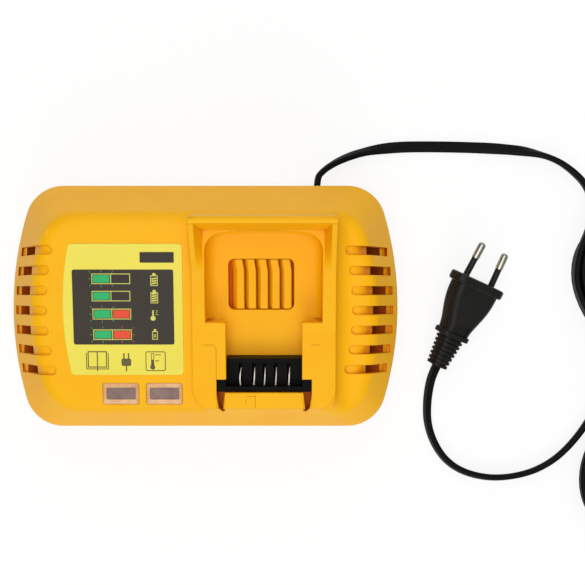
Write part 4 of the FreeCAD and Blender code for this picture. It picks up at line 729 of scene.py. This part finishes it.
def flatCord(path):
    # a closed tube of that section along the path, and its length in mm
    build = bmesh.new()
    section = flatSection()
    rings = []
    distance = 0.0
    for i, place in enumerate(path):
        if i:
            distance += (place - path[i - 1]).length / mm
        ahead = (path[min(i + 1, len(path) - 1)] - path[max(i - 1, 0)]).normalized()
        up = Vector((0, 0, 1))
        up = (up - ahead * up.dot(ahead)).normalized()
        side = ahead.cross(up)
        roll = rollAt(distance)
        wide = side * math.cos(roll) + up * math.sin(roll)
        thin = up * math.cos(roll) - side * math.sin(roll)
        rings.append([build.verts.new(place + wide * (x * mm) + thin * (y * mm)) for x, y in section])
    for a, b in zip(rings, rings[1:]):
        joinRings(build, a, b)
    build.faces.new(rings[0][::-1])
    build.faces.new(rings[-1])
    bmesh.ops.recalc_face_normals(build, faces=build.faces)
    return meshOf(build, "mainsCord"), distance


path = cordPath()
cordMesh, cordLength = flatCord(path)
mainsCord = addPiece("mainsCord", cordMesh, cordFinish)
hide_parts("cord_lead", "cord_hank", "cord_tail")
print("cord laid, %.0f mm" % cordLength)

# The tie round the waist: a flat coated wire, bent round the strands, its ends twisted together on top.
tie = {"half": 14.6, "low": 0.5, "high": 15.4, "thick": 0.7, "corner": 4.0, "place": -38.0, "wide": 4.2}
twist = {"start": -6.0, "length": 13.0, "turns": 2.5, "radius": 1.1, "seat": 1.15, "wire": 0.8,
         "stations": 24, "sides": 6}


def tieLoop(build):
    # outer front, outer rear, inner front and inner rear edge of the band
    loops = []
    for inset in (0.0, tie["thick"]):
        ring = roundBar(hank["x"] - tie["half"] + inset, hank["x"] + tie["half"] - inset, tie["low"] + inset,
                        tie["high"] - inset, tie["corner"] - inset)
        for y in (tie["place"] - tie["wide"] / 2, tie["place"] + tie["wide"] / 2):
            loops.append([build.verts.new(Vector((x, y, z)) * mm) for x, z in ring])
    for a, b in ((loops[0], loops[1]), (loops[3], loops[2]), (loops[2], loops[0]), (loops[1], loops[3])):
        joinRings(build, a, b)


def tieStrand(build, phase):
    # one end of the wire, wound round the other
    rings = []
    section = [2 * math.pi * k / twist["sides"] for k in range(twist["sides"])]
    for i in range(twist["stations"] + 1):
        share = i / twist["stations"]
        angle = phase + share * twist["turns"] * 2 * math.pi
        centre = Vector((hank["x"] + twist["start"] + twist["length"] * share,
                         tie["place"] + twist["radius"] * math.cos(angle),
                         tie["high"] + twist["radius"] * (twist["seat"] + math.sin(angle))))
        rings.append([build.verts.new((centre + Vector((0, math.cos(t), math.sin(t))) * twist["wire"]) * mm)
                      for t in section])
    for a, b in zip(rings, rings[1:]):
        joinRings(build, a, b)
    build.faces.new(rings[0][::-1])
    build.faces.new(rings[-1])


def wireTie():
    build = bmesh.new()
    tieLoop(build)
    for phase in (0, math.pi):
        tieStrand(build, phase)
    bmesh.ops.recalc_face_normals(build, faces=build.faces)
    return meshOf(build, "wireTie")


tieBand = addPiece("wireTie", wireTie(), cordFinish, smooth=False)
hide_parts("cord_tie")

# Floor and backdrop light. A flag starts and ends where a direction points this far sideways, 1 being level.
studio = {"floor": "f6f6f5", "floorHalf": 4, "glow": 1.03, "glowShare": 0.82, "skyBright": 0.72,
          "skyLeft": 0.14, "skyRight": 0.3, "flagFrom": 0.25, "flagTo": 0.85}
# Lamps, in metres and watts.
lamps = {"overhead": {"place": (-0.1, 0.0, 1.3), "size": 0.9, "power": 4.2},
         "front": {"place": (0.05, -1.2, 1.0), "size": 0.8, "power": 5.0},
         "rear": {"place": (0.05, 1.2, 1.0), "size": 0.8, "power": 2.2}}
lampAim = (0.03, 0, 0)

reach = studio["floorHalf"]
floorMesh = bpy.data.meshes.new("floor")
floorMesh.from_pydata([(-reach, -reach, 0), (reach, -reach, 0), (reach, reach, 0), (-reach, reach, 0)], [],
                      [(0, 1, 2, 3)])
floorFinish, floorTree = newFinish("paleFloor")
paper = addNode(floorTree, "ShaderNodeBsdfDiffuse", {"Color": linear(studio["floor"])})
glow = addNode(floorTree, "ShaderNodeEmission", {"Color": (1, 1, 1, 1), "Strength": studio["glow"]})
rays = addNode(floorTree, "ShaderNodeLightPath")
seen = addNode(floorTree, "ShaderNodeMath", {"operation": "MULTIPLY", 1: studio["glowShare"]},
               {0: rays.outputs["Is Camera Ray"]})
closeFinish(floorTree, addNode(floorTree, "ShaderNodeMixShader", links={
    0: seen.outputs[0], 1: paper.outputs[0], 2: glow.outputs[0]}))
floorMesh.materials.append(floorFinish)
floor = bpy.data.objects.new("floor", floorMesh)
bpy.context.scene.collection.objects.link(floor)

# White boards stand before and behind the object, a dark flag to its left and a grey one to its right.
world = bpy.data.worlds.new("studio")
bpy.context.scene.world = world
world.use_nodes = True
worldTree = world.node_tree
worldTree.nodes.clear()
toward = addNode(worldTree, "ShaderNodeTexCoord").outputs["Generated"]
aside = addNode(worldTree, "ShaderNodeSeparateXYZ", links={0: toward})
leftFlag = addNode(worldTree, "ShaderNodeMapRange",
                   {"From Min": -studio["flagFrom"], "From Max": -studio["flagTo"], "To Min": 0.0,
                    "To Max": studio["skyBright"] - studio["skyLeft"]}, {"Value": aside.outputs[0]})
rightFlag = addNode(worldTree, "ShaderNodeMapRange",
                    {"From Min": studio["flagFrom"], "From Max": studio["flagTo"],
                     "To Min": studio["skyBright"], "To Max": studio["skyRight"]},
                    {"Value": aside.outputs[0]})
flags = addNode(worldTree, "ShaderNodeMath", {"operation": "SUBTRACT"},
                {0: rightFlag.outputs[0], 1: leftFlag.outputs[0]})
sky = addNode(worldTree, "ShaderNodeBackground", {"Color": (1, 1, 1, 1)}, {"Strength": flags.outputs[0]})
addNode(worldTree, "ShaderNodeOutputWorld", links={"Surface": sky.outputs[0]})


def addLamp(name, place, size, power):
    lamp = bpy.data.lights.new(name, "AREA")
    lamp.shape = "DISK"
    lamp.size = size
    lamp.energy = power
    lampObject = bpy.data.objects.new(name, lamp)
    lampObject.location = place
    lampObject.rotation_mode = "QUATERNION"
    lampObject.rotation_quaternion = (Vector(lampAim) - Vector(place)).to_track_quat("-Z", "Y")
    bpy.context.scene.collection.objects.link(lampObject)


for name, lamp in lamps.items():
    addLamp(name, **lamp)
bpy.context.scene.view_settings.view_transform = "Standard"
print("studio lit")
